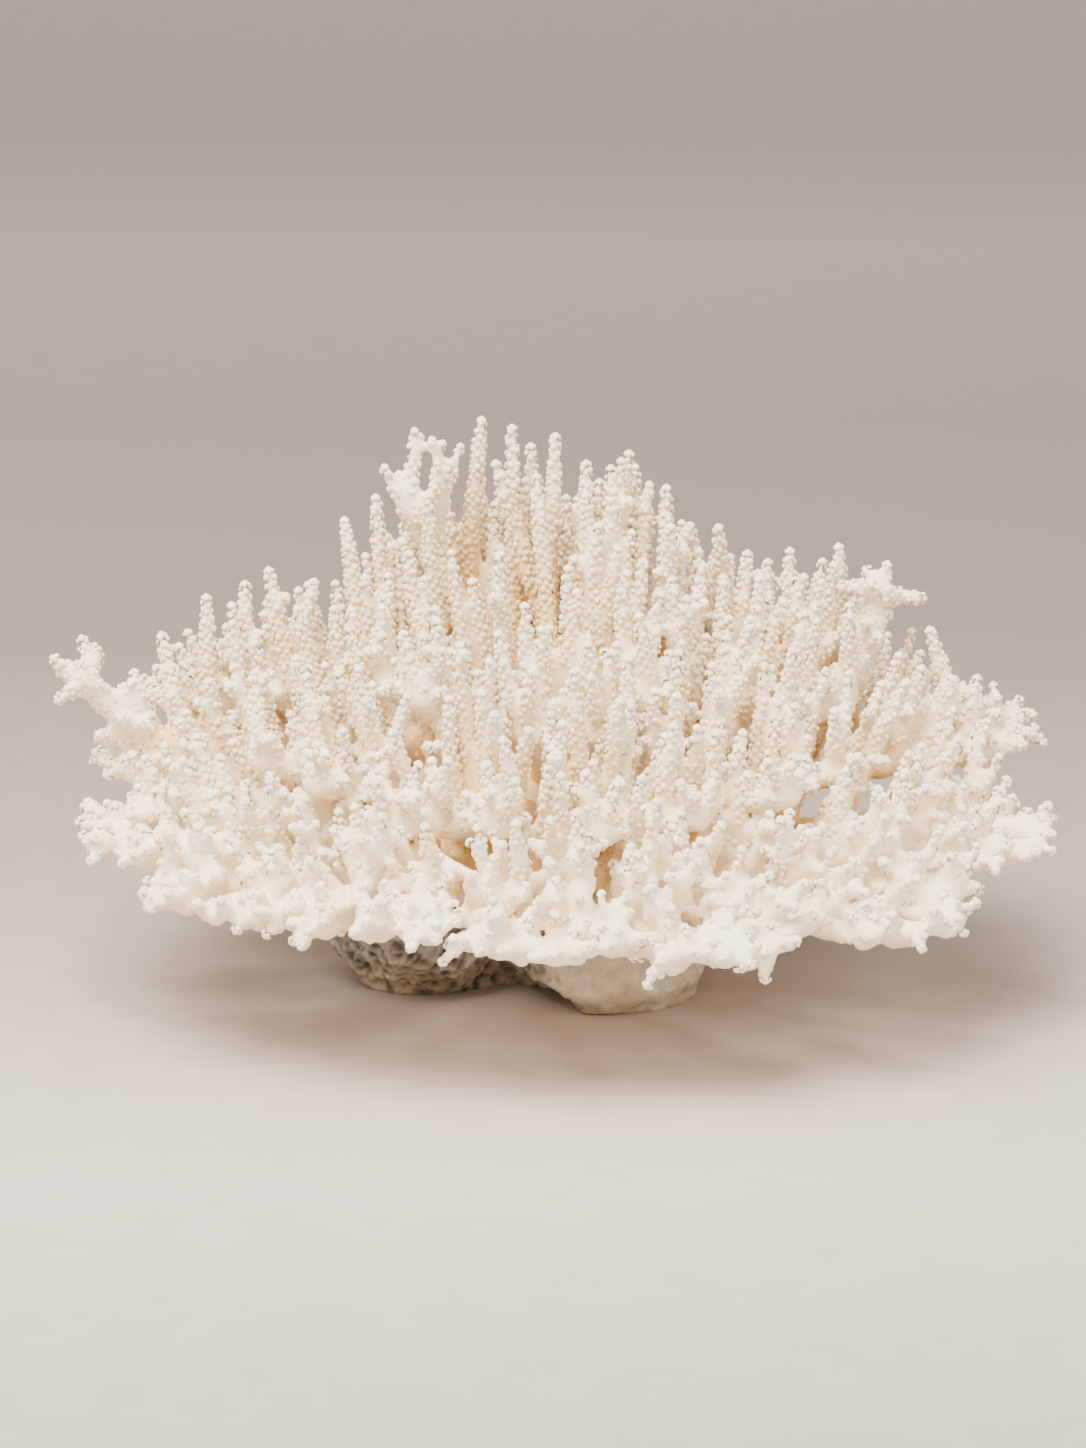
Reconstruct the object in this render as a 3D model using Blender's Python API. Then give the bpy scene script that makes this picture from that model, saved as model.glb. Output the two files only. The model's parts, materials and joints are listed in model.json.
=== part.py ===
"""Staghorn coral: a colony grown from an old reef foot, with boughs that spread
from a short trunk and carry upright branchlets. Metres, +Z up, the front faces -Y."""

import math

import bmesh
import bpy
import numpy as np
from mathutils import Vector

MM = 0.001
SEED = 11

# Clearance kept between neighbouring pieces.
GAP = 0.3 * MM

# The colony's outline in plan, an ellipse, and the line of its highest tips.
OUTLINE_CENTRE = np.array([2, -2]) * MM
OUTLINE_HALF = np.array([163, 140]) * MM
RIDGE_Y = 34 * MM
EDGE_HEIGHT = 58 * MM
FRONT_POWER = 1.1
BACK_POWER = 1.8
# The ridge from the left side to the right: (x, height of the tips over it).
RIDGE_X, RIDGE_Z = np.array([
    (-160, 74), (-140, 84), (-125, 102), (-108, 120), (-88, 130), (-70, 128), (-62, 140),
    (-48, 156), (-20, 176), (5, 174), (32, 166), (42, 156), (50, 144), (75, 138),
    (98, 136), (112, 126), (125, 112), (142, 94), (160, 74),
]).T * MM

# Trunk: rings of (height, radius), and its middle in plan.
TRUNK_MIDDLE = np.array([-2, 2]) * MM
TRUNK_RINGS = ((30, 33), (36, 34), (44, 34), (54, 36), (63, 34), (71, 26), (76, 13))
TRUNK_CORNERS = 16

# Old reef foot: lobes of (x, y) and ring heights with each lobe's radius there.
FOOT_LOBES = ((-40, 3), (21, -9), (-6, 22))
FOOT_RINGS = (
    (0, (20, 29, 27)), (6, (26, 31, 31)), (14, (31, 28, 33)), (22, (31, 26, 32)), (30, (26, 24, 29)),
    (37, (17, 22, 24)),
)
FOOT_CORNERS = 26
ARCH_MIDDLE = (-6, -34, 0)
ARCH_HALF = (20, 28, 8)

# Boughs: azimuth in degrees, reach and height of the tip in millimetres.
RIM_ROOT = (24, 53)
RIM_BOUGHS = (
    (-13, 161, 55), (-38, 160, 45), (-64, 145, 45), (-90, 137, 48), (-116, 140, 51), (-140, 146, 50),
    (-164, 150, 56), (172, 146, 70), (150, 148, 80), (127, 137, 74), (103, 133, 72), (79, 134, 72),
    (55, 141, 73), (32, 151, 75), (10, 160, 77),
)
MID_ROOT = (14, 60)
MID_BOUGHS = (
    (-68, 88, 72), (-109, 86, 74), (-152, 92, 82), (158, 96, 94), (114, 92, 88), (84, 90, 98),
    (50, 94, 96), (12, 100, 92), (-28, 98, 79),
)
INNER_ROOT = (9, 66)
INNER_BOUGHS = ((-82, 42, 92), (-22, 46, 102), (48, 48, 118), (203, 50, 102))

# Radii of the boughs where they start, fork and end, in millimetres, and how much wider
# than high they are.
ARM_RADII = {"rim": (4.7, 5.0, 4.5, 3.6), "mid": (6.0, 5.2, 4.0), "inner": (5.6, 5.2, 4.2)}
ARM_WIDTH = 1.25
ARM_CORNERS = 6
ARM_STEP = 23 * MM
# Tries for room for an arm, how much shorter each try after the third is, how far its end
# wanders, and its bow to the side as a share of its length.
ARM_TRIES = 12
FULL_TRIES = 3
ARM_SHRINK = 0.05
ARM_WANDER = np.array([2.5, 2.5, 1.5]) * MM
ARM_BOW = 0.07
# Where the rim boughs fork and split, as shares of (reach, rise), how far each half turns
# there in degrees, and the reach of an arm that turns back or on.
RIM_FORK = (0.38, 0.40)
RIM_SPLIT = (0.67, 0.68)
RIM_TURNS = (6.4, 3.2)
RIM_REACH = (0.94, 0.89)
# Upper tiers: name, root, boughs, turn of each half of the fork in degrees, and the share of
# the reach where they fork.
TIERS = (("mid", MID_ROOT, MID_BOUGHS, 10, 0.5), ("inner", INNER_ROOT, INNER_BOUGHS, 17, 0.55))

# Branchlets: radius of their tips, spacing of the tips, least length, height of the collar
# above the bough that they leave it with, and how far they stray sideways from it.
TWIG_CORNERS = 4
TWIG_TIP = 2.2 * MM
TIP_SPACING = 14.5 * MM
SHORTEST_TWIG = 10 * MM
COLLAR_RISE = 3 * MM
STRAY = 13 * MM
# Outward lean of the branchlets at the outline, as a share of their rise, tries for each
# place with the drop between them, and how squarely a side must face the tip.
TWIG_LEAN = 0.30
TWIG_TRIES = 8
TWIG_DROP = 5 * MM
LEAST_FACING = 0.35
# Radii of the fingers at the ends of rim arms, of the antlers' prongs and of the crown's.
FINGER_TIP = 2.6 * MM
PRONG_TIP = 2.4 * MM
# No branchlet starts within the trunk scaled by this share.
TRUNK_MARGIN = 1.1

# Room between the branches of different boughs, how far two of one bough may come into one
# another, and how near to its root a branchlet isn't tested.
CLEARANCE = 0.7 * MM
OWN_OVERLAP = 0.6 * MM
ROOT_REACH = 9 * MM
BALL_STEP = 2 * MM

# Short fingers at the end of each rim arm, right and left: (turn in degrees, length, rise).
RIM_FINGERS = ((-32, 11, 3), (30, 10, 5))

# Crown: the tall stem at the back left, and for each half of its fan the end of the arm,
# the two tips that it parts into and the tip of a branchlet on its front.
CROWN_STEM = ((-4, 4, 64), (-11, 12, 83), (-21, 24, 105), (-31, 32, 124), (-38, 36, 139))
CROWN_RADII = (6.5, 6.2, 6.0, 6.0, 6.0)
CROWN_FORK_RADII = (5.0, 4.4)
CROWN_FORKS = (
    ((-33, 37, 152), ((-28, 38, 165), (-34, 35, 169)), (-30, 29, 164)),
    ((-45, 33, 151), ((-40, 38, 171), (-51, 34, 161)), (-46, 26, 166)),
)
# Antler-shaped ends: a point above the place that each leaves, then its stem's stations, the
# radii there, and the tips of its prongs. The first stands at the right, the second is the
# long arm that juts out at the left.
ANTLERS = (
    (((99, 21, 92), (104, 23, 103), (107, 24, 115), (111, 27, 131)), (4.4, 4.4, 4.6, 2.4),
     ((97, 25, 125), (106, 17, 127), (120, 24, 121))),
    (((-100, 2, 80), (-126, 1, 81), (-141, -2, 95), (-155, -3, 107)), (5.2, 5.0, 4.8, 2.8),
     ((-141, -9, 84), (-131, -2, 99), (-153, -13, 97), (-144, 6, 109))),
)
# Single branchlets that stand out against the sky: (x, y, z) of the tip.
LONE_TIPS = (
    (-64, 30, 145), (-54, 32, 152), (-20, 40, 176), (-10, 42, 173), (4, 38, 171), (14, 38, 162),
    (22, 40, 160), (32, 42, 163), (40, 38, 154), (57, 38, 141), (96, 36, 135), (-88, 18, 131),
    (-108, 14, 123), (-122, 8, 112), (125, 20, 111), (140, 16, 96), (-15, 28, 164), (-2, 26, 160),
    (-30, 24, 150), (9, 28, 156), (-4, 52, 165), (-28, 52, 154), (14, 52, 156), (66, 30, 134),
    (80, 34, 134), (-74, 24, 126), (-96, 22, 120), (30, 26, 150), (48, 46, 140),
)


def polar(azimuth, reach, height):
    """The point at this azimuth in degrees, reach and height, the last two in millimetres."""
    angle = math.radians(azimuth)
    return np.array([reach * math.cos(angle), reach * math.sin(angle), height]) * MM


def canopy(x, y):
    """Height of the branchlet tips over a point of the plan: highest on the ridge line,
    falling to the edge height at the outline in front of it and behind it."""
    across = min(abs(x - OUTLINE_CENTRE[0]) / OUTLINE_HALF[0], 0.98)
    edge = OUTLINE_HALF[1] * math.sqrt(1 - across**2)
    ridge_y = RIDGE_Y * (1 - across**2)
    front = y < ridge_y
    span = edge + ridge_y - OUTLINE_CENTRE[1] if front else edge - ridge_y + OUTLINE_CENTRE[1]
    share = min(abs(y - ridge_y) / span, 1.1)
    top = np.interp(x, RIDGE_X, RIDGE_Z)
    return EDGE_HEIGHT + (top - EDGE_HEIGHT) * (1 - share ** (FRONT_POWER if front else BACK_POWER))


def inside_trunk(points, share=1.0):
    """Which points lie in the trunk, or in the trunk scaled by a share."""
    heights, radii = (np.array(column) * MM for column in zip(*TRUNK_RINGS))
    allowed = np.interp(points[:, 2], heights, radii, left=0, right=0)
    return np.linalg.norm(points[:, :2] - TRUNK_MIDDLE, axis=1) < share * allowed


def smooth_path(points, count):
    """A path of count points along the Catmull-Rom curve through the given points."""
    given = np.asarray(points, float)
    ends = np.vstack([2 * given[0] - given[1], given, 2 * given[-1] - given[-2]])
    path = []
    for s in np.linspace(0, len(given) - 1, count):
        i = min(int(s), len(given) - 2)
        t = s - i
        a, b, c, d = ends[i : i + 4]
        path.append(b + 0.5 * t * (c - a + t * (2 * a - 5 * b + 4 * c - d + t * (3 * b - a - 3 * c + d))))
    return np.array(path)


def along(path, where):
    """The point of a path, or the value of a list, at a place counted in its own steps."""
    steps = np.arange(len(path))
    if path.ndim == 1:
        return np.interp(where, steps, path)
    return np.stack([np.interp(where, steps, path[:, k]) for k in range(3)], axis=-1)


class Branch:
    """An arm or a branchlet: stations along it, their radii and what grows from it."""

    def __init__(self, bough, kind, path, radii, across, parent=None):
        self.bough = bough
        self.kind = kind
        self.path = path
        self.radii = radii
        # The direction that its cross sections take as their own X.
        self.across = across
        self.parent = parent
        self.corners = ARM_CORNERS if kind == "arm" else TWIG_CORNERS
        self.forks = []
        self.sides = {}

    def run(self, station):
        """Direction of growth at a station."""
        before, after = self.path[max(station - 1, 0)], self.path[min(station + 1, len(self.path) - 1)]
        return (after - before) / np.linalg.norm(after - before)

    def section_axes(self, station):
        """The two directions that span the cross section at a station."""
        run = self.run(station)
        x_axis = self.across - run * (self.across @ run)
        x_axis /= np.linalg.norm(x_axis)
        return x_axis, np.cross(x_axis, run)

    def outward(self, segment, side):
        """The direction that one side of a segment faces."""
        x_axis, y_axis = self.section_axes(segment)
        angle = 2 * math.pi * (side + 1) / self.corners
        return math.cos(angle) * x_axis + math.sin(angle) * y_axis

    def collar(self, segment, side):
        """Where a branchlet on one side of a segment starts, and where it clears the surface."""
        root = (self.path[segment] + self.path[segment + 1]) / 2
        return root, root + self.outward(segment, side) * (self.radii[segment] + COLLAR_RISE)

    def side_towards(self, segment, target):
        """The free side of a segment that faces a point best, or None if none faces it."""
        way = target - (self.path[segment] + self.path[segment + 1]) / 2
        best, best_facing = None, LEAST_FACING
        for side in range(self.corners):
            facing = self.outward(segment, side) @ way / np.linalg.norm(way)
            if facing > best_facing and (segment, side) not in self.sides:
                best, best_facing = side, facing
        return best


class Colony:
    """The branches grown so far, and the space that they take, held as balls."""

    def __init__(self):
        self.random = np.random.default_rng(SEED)
        self.branches = []
        self.boughs = {}
        self.balls = np.zeros((0, 4))
        self.ball_branch = np.zeros(0, int)
        self.tips = np.zeros((1, 3))

    def balls_along(self, branch):
        """Balls of (x, y, z, radius) along a branch, leaving out those inside the trunk."""
        length = np.linalg.norm(np.diff(branch.path, axis=0), axis=1).sum()
        where = np.linspace(0, len(branch.path) - 1, max(3, int(length / BALL_STEP)))
        width = ARM_WIDTH if branch.kind == "arm" else 1
        balls = np.column_stack([along(branch.path, where), along(branch.radii, where) * width])
        return balls[~inside_trunk(balls[:, :3])]

    def clear(self, branch):
        """True if a branch keeps clear of other boughs and, away from its root, of its own."""
        mine = self.balls_along(branch)
        if not len(mine) or not len(self.balls):
            return True
        distance = np.linalg.norm(mine[:, None, :3] - self.balls[None, :, :3], axis=2)
        room = distance - mine[:, None, 3] - self.balls[None, :, 3]
        same_bough = np.array([other.bough == branch.bough for other in self.branches])[self.ball_branch]
        if room[:, ~same_bough].min(initial=1) < CLEARANCE:
            return False
        if branch.kind == "arm":
            return True
        related = np.array([
            other is branch.parent or np.linalg.norm(other.path[0] - branch.path[0]) < 1 * MM
            for other in self.branches
        ])[self.ball_branch]
        free_part = np.linalg.norm(mine[:, :3] - branch.path[0], axis=1) > ROOT_REACH
        return room[free_part][:, same_bough & ~related].min(initial=1) > -OWN_OVERLAP

    def add(self, branch):
        """Keeps a branch, and the balls of the space that it takes."""
        balls = self.balls_along(branch)
        self.balls = np.vstack([self.balls, balls])
        self.ball_branch = np.append(self.ball_branch, np.full(len(balls), len(self.branches)))
        self.branches.append(branch)
        if branch.parent is None:
            self.boughs[branch.bough] = branch
        if branch.kind == "twig":
            self.tips = np.vstack([self.tips, branch.path[-1]])
        return branch

    def arm(self, bough, parent, start, end, radii, sag=0.0):
        """Grows an arm from start towards end, bowed sideways a little, and shorter if it would
        meet another bough. Without room, or without the arm it should leave, there is none."""
        for attempt in range(ARM_TRIES):
            reach = 1 - ARM_SHRINK * max(0, attempt - FULL_TRIES)
            wander = self.random.uniform(-1, 1, 3) * ARM_WANDER
            run = (end - start) * reach + wander
            sideways = np.array([-run[1], run[0], 0]) * self.random.uniform(-ARM_BOW, ARM_BOW)
            middle = start + run / 2 + sideways - np.array([0, 0, sag * MM])
            segments = max(1, round(np.linalg.norm(run) / ARM_STEP))
            path = smooth_path([start, middle, start + run], segments + 1)
            across = np.cross(run, (0, 0, 1))
            branch = Branch(
                bough, "arm", path, np.linspace(radii[0], radii[1], segments + 1) * MM,
                across / np.linalg.norm(across), parent,
            )
            if self.clear(branch):
                if parent is not None:
                    parent.forks.append(branch)
                return self.add(branch)
        return None

    def side_twig(self, parent, segment, tip, tip_radius):
        """Grows a branchlet to tip from a free side of a segment of its parent, if it has room.
        It leaves that side squarely, up to a collar, and from there runs to its tip."""
        side = parent.side_towards(segment, tip)
        if side is None:
            return None
        root, collar = parent.collar(segment, side)
        thick = twig_radius(tip[2] - root[2])
        radii = np.array([thick, thick, tip_radius])
        branch = Branch(
            parent.bough, "twig", np.array([root, collar, tip]), radii, parent.run(segment), parent
        )
        if not self.clear(branch):
            return None
        parent.sides[segment, side] = branch
        return self.add(branch)

    def end_twigs(self, parent, tips, tip_radius):
        """Grows the fingers that an arm's end parts into, from its right side to its left."""
        for tip in tips:
            path = np.array([parent.path[-1], tip])
            radii = np.array([twig_radius(tip[2] - path[0][2]), tip_radius])
            branch = Branch(parent.bough, "twig", path, radii, parent.across, parent)
            if self.clear(branch):
                parent.forks.append(self.add(branch))


def twig_radius(rise):
    """How thick a branchlet of this height is near its root."""
    return np.interp(rise, [10 * MM, 60 * MM], [3.2 * MM, 4.1 * MM])


def grow_rim(colony):
    """The boughs of the lowest tier, which fork twice and end in short fingers at the outline."""
    start, fork, split, end = ARM_RADII["rim"]
    for number, (azimuth, reach, height) in enumerate(RIM_BOUGHS, 1):
        bough = f"rim_bough_{number:02d}"
        rise = height - RIM_ROOT[1]
        root = polar(azimuth, *RIM_ROOT)
        goal = polar(azimuth, RIM_FORK[0] * reach, RIM_ROOT[1] + RIM_FORK[1] * rise - 2)
        first = colony.arm(bough, None, root, goal, (start, fork), 1)
        for turn in (-RIM_TURNS[0], RIM_TURNS[0]):
            goal = polar(azimuth + turn, RIM_SPLIT[0] * reach, RIM_ROOT[1] + RIM_SPLIT[1] * rise)
            second = colony.arm(bough, first, first.path[-1], goal, (fork, split), 0.5)
            if second is None:
                continue
            for outer in (-RIM_TURNS[1], RIM_TURNS[1]):
                length = reach * RIM_REACH[0 if outer * turn < 0 else 1]
                goal = polar(azimuth + turn + outer, length, height)
                third = colony.arm(bough, second, second.path[-1], goal, (split, end), 1)
                if third is not None:
                    grow_rim_fingers(colony, third)


def grow_rim_fingers(colony, arm):
    """The two short fingers at the end of a rim arm."""
    tip = arm.path[-1]
    heading = math.degrees(math.atan2(tip[1], tip[0]))
    tips = [tip + polar(heading + turn, length, rise) for turn, length, rise in RIM_FINGERS]
    colony.end_twigs(arm, tips, FINGER_TIP)


def grow_upper(colony):
    """The middle and inner boughs, which rise more steeply, fork once and end in two fingers."""
    for tier, root, table, spread, fork_at in TIERS:
        start, fork, end = ARM_RADII[tier]
        for number, (azimuth, reach, height) in enumerate(table, 1):
            bough = f"{tier}_bough_{number:02d}"
            goal = polar(azimuth, fork_at * reach, root[1] + 0.5 * (height - root[1]))
            first = colony.arm(bough, None, polar(azimuth, *root), goal, (start, fork))
            for turn in (-spread, spread):
                goal = polar(azimuth + turn, reach, height)
                second = colony.arm(bough, first, first.path[-1], goal, (fork, end), 1.5)
                if second is not None:
                    grow_end_pair(colony, second)


def grow_end_pair(colony, arm):
    """Parts an arm's end into two branchlets that rise to the canopy, the second lower."""
    tips = []
    for side, drop in ((1, 3), (-1, 12)):
        plan = arm.path[-1][:2] + arm.across[:2] * side * colony.random.uniform(4, 9) * MM
        height = canopy(*plan) - (drop + colony.random.uniform(-3, 6)) * MM
        tips.append(np.array([*plan, max(height, arm.path[-1][2] + SHORTEST_TWIG)]))
    colony.end_twigs(arm, tips, TWIG_TIP)


def grow_crown(colony):
    """The tall stem at the back left, which opens into a fan of fingers."""
    across = np.array([1.0, 0, 0])
    stem = Branch("crown_bough", "arm", np.array(CROWN_STEM) * MM, np.array(CROWN_RADII) * MM, across)
    colony.add(stem)
    for end, tips, front_tip in CROWN_FORKS:
        path = np.array([stem.path[-1], np.array(end) * MM])
        fork = colony.add(Branch("crown_bough", "arm", path, np.array(CROWN_FORK_RADII) * MM, across, stem))
        stem.forks.append(fork)
        colony.end_twigs(fork, np.array(tips) * MM, FINGER_TIP)
        colony.side_twig(fork, 0, np.array(front_tip) * MM, FINGER_TIP)


def places_below(colony, tip):
    """Places on the arms, as (arm, segment), from the one below a tip to the farthest."""
    places = []
    for arm in colony.branches:
        if arm.kind != "arm" or arm.bough == "crown_bough":
            continue
        for segment in range(len(arm.path) - 1):
            root = (arm.path[segment] + arm.path[segment + 1]) / 2
            away = tip - root
            if away[2] > SHORTEST_TWIG and not inside_trunk(root[None], TRUNK_MARGIN)[0]:
                cost = np.linalg.norm(away) + 2.5 * np.linalg.norm(away[:2])
                places.append((cost, len(places), arm, segment))
    return [place[2:] for place in sorted(places)]


def grow_skyline(colony):
    """The antler-shaped ends and the single branchlets of the skyline."""
    for stations, radii, prongs in ANTLERS:
        grow_antler(colony, np.array(stations) * MM, np.array(radii) * MM, np.array(prongs) * MM)
    for tip in np.array(LONE_TIPS) * MM:
        for arm, segment in places_below(colony, tip)[:5]:
            if colony.side_twig(arm, segment, tip, TWIG_TIP):
                break


def grow_antler(colony, stations, radii, prongs):
    """A thick stem from the first place below it with room, with prongs on its upper half."""
    for arm, segment in places_below(colony, stations[0]):
        side = arm.side_towards(segment, stations[1])
        if side is None:
            continue
        root, collar = arm.collar(segment, side)
        path = np.vstack([root, collar, stations[1:]])
        stem = Branch(arm.bough, "twig", path, np.append(radii[0], radii), arm.run(segment), arm)
        if colony.clear(stem):
            break
    arm.sides[segment, side] = colony.add(stem)
    for tip in prongs:
        lengths = [np.linalg.norm(tip - (stem.path[k] + stem.path[k + 1]) / 2) for k in (2, 3)]
        colony.side_twig(stem, 2 + int(np.argmin(lengths)), tip, PRONG_TIP)


def grow_twigs(colony):
    """Branchlets on both upper sides of every segment of the arms, up to the canopy."""
    for arm in [branch for branch in colony.branches if branch.kind == "arm"]:
        for segment in range(len(arm.path) - 1):
            root = (arm.path[segment] + arm.path[segment + 1]) / 2
            if inside_trunk(root[None], TRUNK_MARGIN)[0] or arm.bough == "crown_bough":
                continue
            for side in (1, -1):
                grow_twig_at(colony, arm, segment, root, side)


def grow_twig_at(colony, arm, segment, root, side):
    """Tries a few tips on one side of a place on an arm, each lower than the last, and keeps
    the first with room."""
    out = root[:2] / np.linalg.norm(root[:2])
    lean = TWIG_LEAN * np.linalg.norm(root[:2]) / OUTLINE_HALF[1]
    for attempt in range(TWIG_TRIES):
        stray = colony.random.uniform(0.1, 1) * side * arm.across[:2]
        beside = root[:2] + (stray + colony.random.uniform(-0.6, 0.6) * out) * STRAY
        plan = beside + out * lean * max(canopy(*beside) - root[2], 0)
        drop = colony.random.uniform(0, 9) * MM + TWIG_DROP * attempt
        tip = np.array([*plan, max(canopy(*plan) - drop, root[2] + SHORTEST_TWIG)])
        if np.linalg.norm(colony.tips - tip, axis=1).min() < TIP_SPACING:
            continue
        if colony.side_twig(arm, segment, tip, TWIG_TIP):
            return


def grow_colony():
    """The whole colony; the order matters, as every branch keeps clear of those before it."""
    colony = Colony()
    grow_crown(colony)
    grow_rim(colony)
    grow_upper(colony)
    grow_skyline(colony)
    grow_twigs(colony)
    return colony


def material(name, colour, roughness):
    """A Principled material of one colour."""
    made = bpy.data.materials.new(name)
    made.use_nodes = True
    shader = made.node_tree.nodes["Principled BSDF"]
    shader.inputs["Base Color"].default_value = (*colour, 1)
    shader.inputs["Roughness"].default_value = roughness
    shader.inputs["Metallic"].default_value = 0.0
    return made


def section(mesh, branch, station, corners):
    """A ring of corners round a branch at one station."""
    x_axis, y_axis = branch.section_axes(station)
    width = ARM_WIDTH if branch.kind == "arm" else 1
    ring = []
    for k in range(corners):
        angle = 2 * math.pi * (k + 0.5) / corners
        offset = math.cos(angle) * width * x_axis + math.sin(angle) * y_axis
        ring.append(mesh.verts.new(branch.path[station] + branch.radii[station] * offset))
    return ring


def carry_on(mesh, ring, branch):
    """Extrudes a ring of the mesh along a branch, opens the sides where others leave it, and
    closes or forks its end."""
    corners = len(ring)
    for station in range(1, len(branch.path)):
        upper = section(mesh, branch, station, corners)
        for k in range(corners):
            n = (k + 1) % corners
            twig = branch.sides.get((station - 1, k))
            if twig is None:
                mesh.faces.new((ring[k], ring[n], upper[n], upper[k]))
            else:
                carry_on(mesh, [upper[k], ring[k], ring[n], upper[n]], twig)
        ring = upper
    if len(branch.forks) == 2 and branch.forks[0].kind == "arm":
        fork_arm(mesh, ring, branch)
    elif len(branch.forks) == 2:
        right, left = branch.forks
        carry_on(mesh, [ring[0], ring[1], ring[4], ring[5]], right)
        carry_on(mesh, ring[1:5], left)
    elif branch.forks:
        carry_on(mesh, ring, branch.forks[0])
    else:
        mesh.faces.new(ring)


def fork_arm(mesh, ring, branch):
    """Parts a ring of six corners in two, which share a crotch of two new corners."""
    run, (_, y_axis) = branch.run(len(branch.path) - 1), branch.section_axes(len(branch.path) - 1)
    radius = branch.radii[-1]
    upper = mesh.verts.new(branch.path[-1] + (0.5 * run + 0.5 * y_axis) * radius)
    lower = mesh.verts.new(branch.path[-1] + (0.5 * run - 0.5 * y_axis) * radius)
    right, left = branch.forks
    carry_on(mesh, [ring[0], ring[1], upper, lower, ring[4], ring[5]], right)
    carry_on(mesh, [upper, ring[1], ring[2], ring[3], ring[4], lower], left)


def new_object(name, mesh, finish):
    """Puts a bmesh, its faces turned outwards, into an object of the scene."""
    bmesh.ops.recalc_face_normals(mesh, faces=mesh.faces)
    bmesh.ops.triangulate(mesh, faces=mesh.faces)
    data = bpy.data.meshes.new(name)
    mesh.to_mesh(data)
    mesh.free()
    data.materials.append(finish)
    made = bpy.data.objects.new(name, data)
    bpy.context.scene.collection.objects.link(made)
    return made


def helper(made):
    """Marks an object as a cutter, which isn't part of the model."""
    made.hide_render = True
    made.display_type = "WIRE"
    return made


def cut(made, cutter):
    """Takes the cutter's space out of an object."""
    modifier = made.modifiers.new("Cut_" + cutter.name, "BOOLEAN")
    modifier.operation = "DIFFERENCE"
    modifier.solver = "EXACT"
    modifier.use_self = True
    modifier.object = cutter


def ringed_solid(rings, corners, outline):
    """A closed solid of rings at given heights, whose radius at an angle comes from outline."""
    mesh = bmesh.new()
    loops = []
    for level, height in enumerate(rings):
        loop = []
        for k in range(corners):
            angle = 2 * math.pi * k / corners
            centre, radius = outline(level, angle)
            x, y = centre[0] + radius * math.cos(angle), centre[1] + radius * math.sin(angle)
            loop.append(mesh.verts.new(Vector((x, y, height)) * MM))
        loops.append(loop)
    for lower, upper in zip(loops, loops[1:]):
        for k in range(corners):
            n = (k + 1) % corners
            mesh.faces.new((lower[k], lower[n], upper[n], upper[k]))
    mesh.faces.new(loops[0][::-1])
    mesh.faces.new(loops[-1])
    return mesh


def trunk_mesh(swell):
    """The trunk, knobbly and domed, or the same grown by swell millimetres for cutting."""
    heights = [height for height, radius in TRUNK_RINGS]
    heights[0] -= swell
    heights[-1] += swell
    middle = TRUNK_MIDDLE / MM

    def outline(level, angle):
        knobs = 1.1 * math.sin(5 * angle + 0.9 * level) + 0.7 * math.sin(3 * angle - level)
        return middle, TRUNK_RINGS[level][1] + knobs + swell

    return ringed_solid(heights, TRUNK_CORNERS, outline)


def foot_mesh():
    """The old reef foot: at each height the outline is the reach of the farthest lobe."""

    def outline(level, angle):
        way = (math.cos(angle), math.sin(angle))
        reach = 0
        for (x, y), radius in zip(FOOT_LOBES, FOOT_RINGS[level][1]):
            forward = x * way[0] + y * way[1]
            inside = radius**2 - (x**2 + y**2 - forward**2)
            if inside > 0:
                reach = max(reach, forward + math.sqrt(inside))
        rough = 1.3 * math.sin(7 * angle + 2 * level) + 0.9 * math.sin(11 * angle - level)
        return (0, 0), reach + rough

    return ringed_solid([height for height, radii in FOOT_RINGS], FOOT_CORNERS, outline)


def build_foot(finish, trunk_cutter):
    """The reef foot with the arch under its front and the hollow that the trunk fills."""
    foot = new_object("reef_foot", foot_mesh(), finish)
    arch = bmesh.new()
    bmesh.ops.create_uvsphere(arch, u_segments=12, v_segments=6, radius=1)
    bmesh.ops.scale(arch, vec=Vector(ARCH_HALF) * MM, verts=arch.verts)
    bmesh.ops.translate(arch, vec=Vector(ARCH_MIDDLE) * MM, verts=arch.verts)
    cut(foot, helper(new_object("arch_cutter", arch, finish)))
    cut(foot, trunk_cutter)
    return foot


def build_bough(bough, stem, finish, trunk_cutter):
    """One bough, extruded from its root with all its branchlets and cut off at the trunk."""
    mesh = bmesh.new()
    root = section(mesh, stem, 0, stem.corners)
    mesh.faces.new(root)
    carry_on(mesh, root, stem)
    cut(new_object(bough, mesh, finish), trunk_cutter)


def main():
    for old in list(bpy.data.objects):
        bpy.data.objects.remove(old)
    colony = grow_colony()
    coral = material("bleached_coral", (0.86, 0.79, 0.69), 0.75)
    reef = material("old_reef_rock", (0.42, 0.36, 0.28), 0.9)
    trunk_cutter = helper(new_object("trunk_cutter", trunk_mesh(GAP / MM), coral))
    new_object("trunk", trunk_mesh(0), coral)
    build_foot(reef, trunk_cutter)
    for bough, stem in colony.boughs.items():
        build_bough(bough, stem, coral, trunk_cutter)


main()
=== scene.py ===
import json
import math

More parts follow.
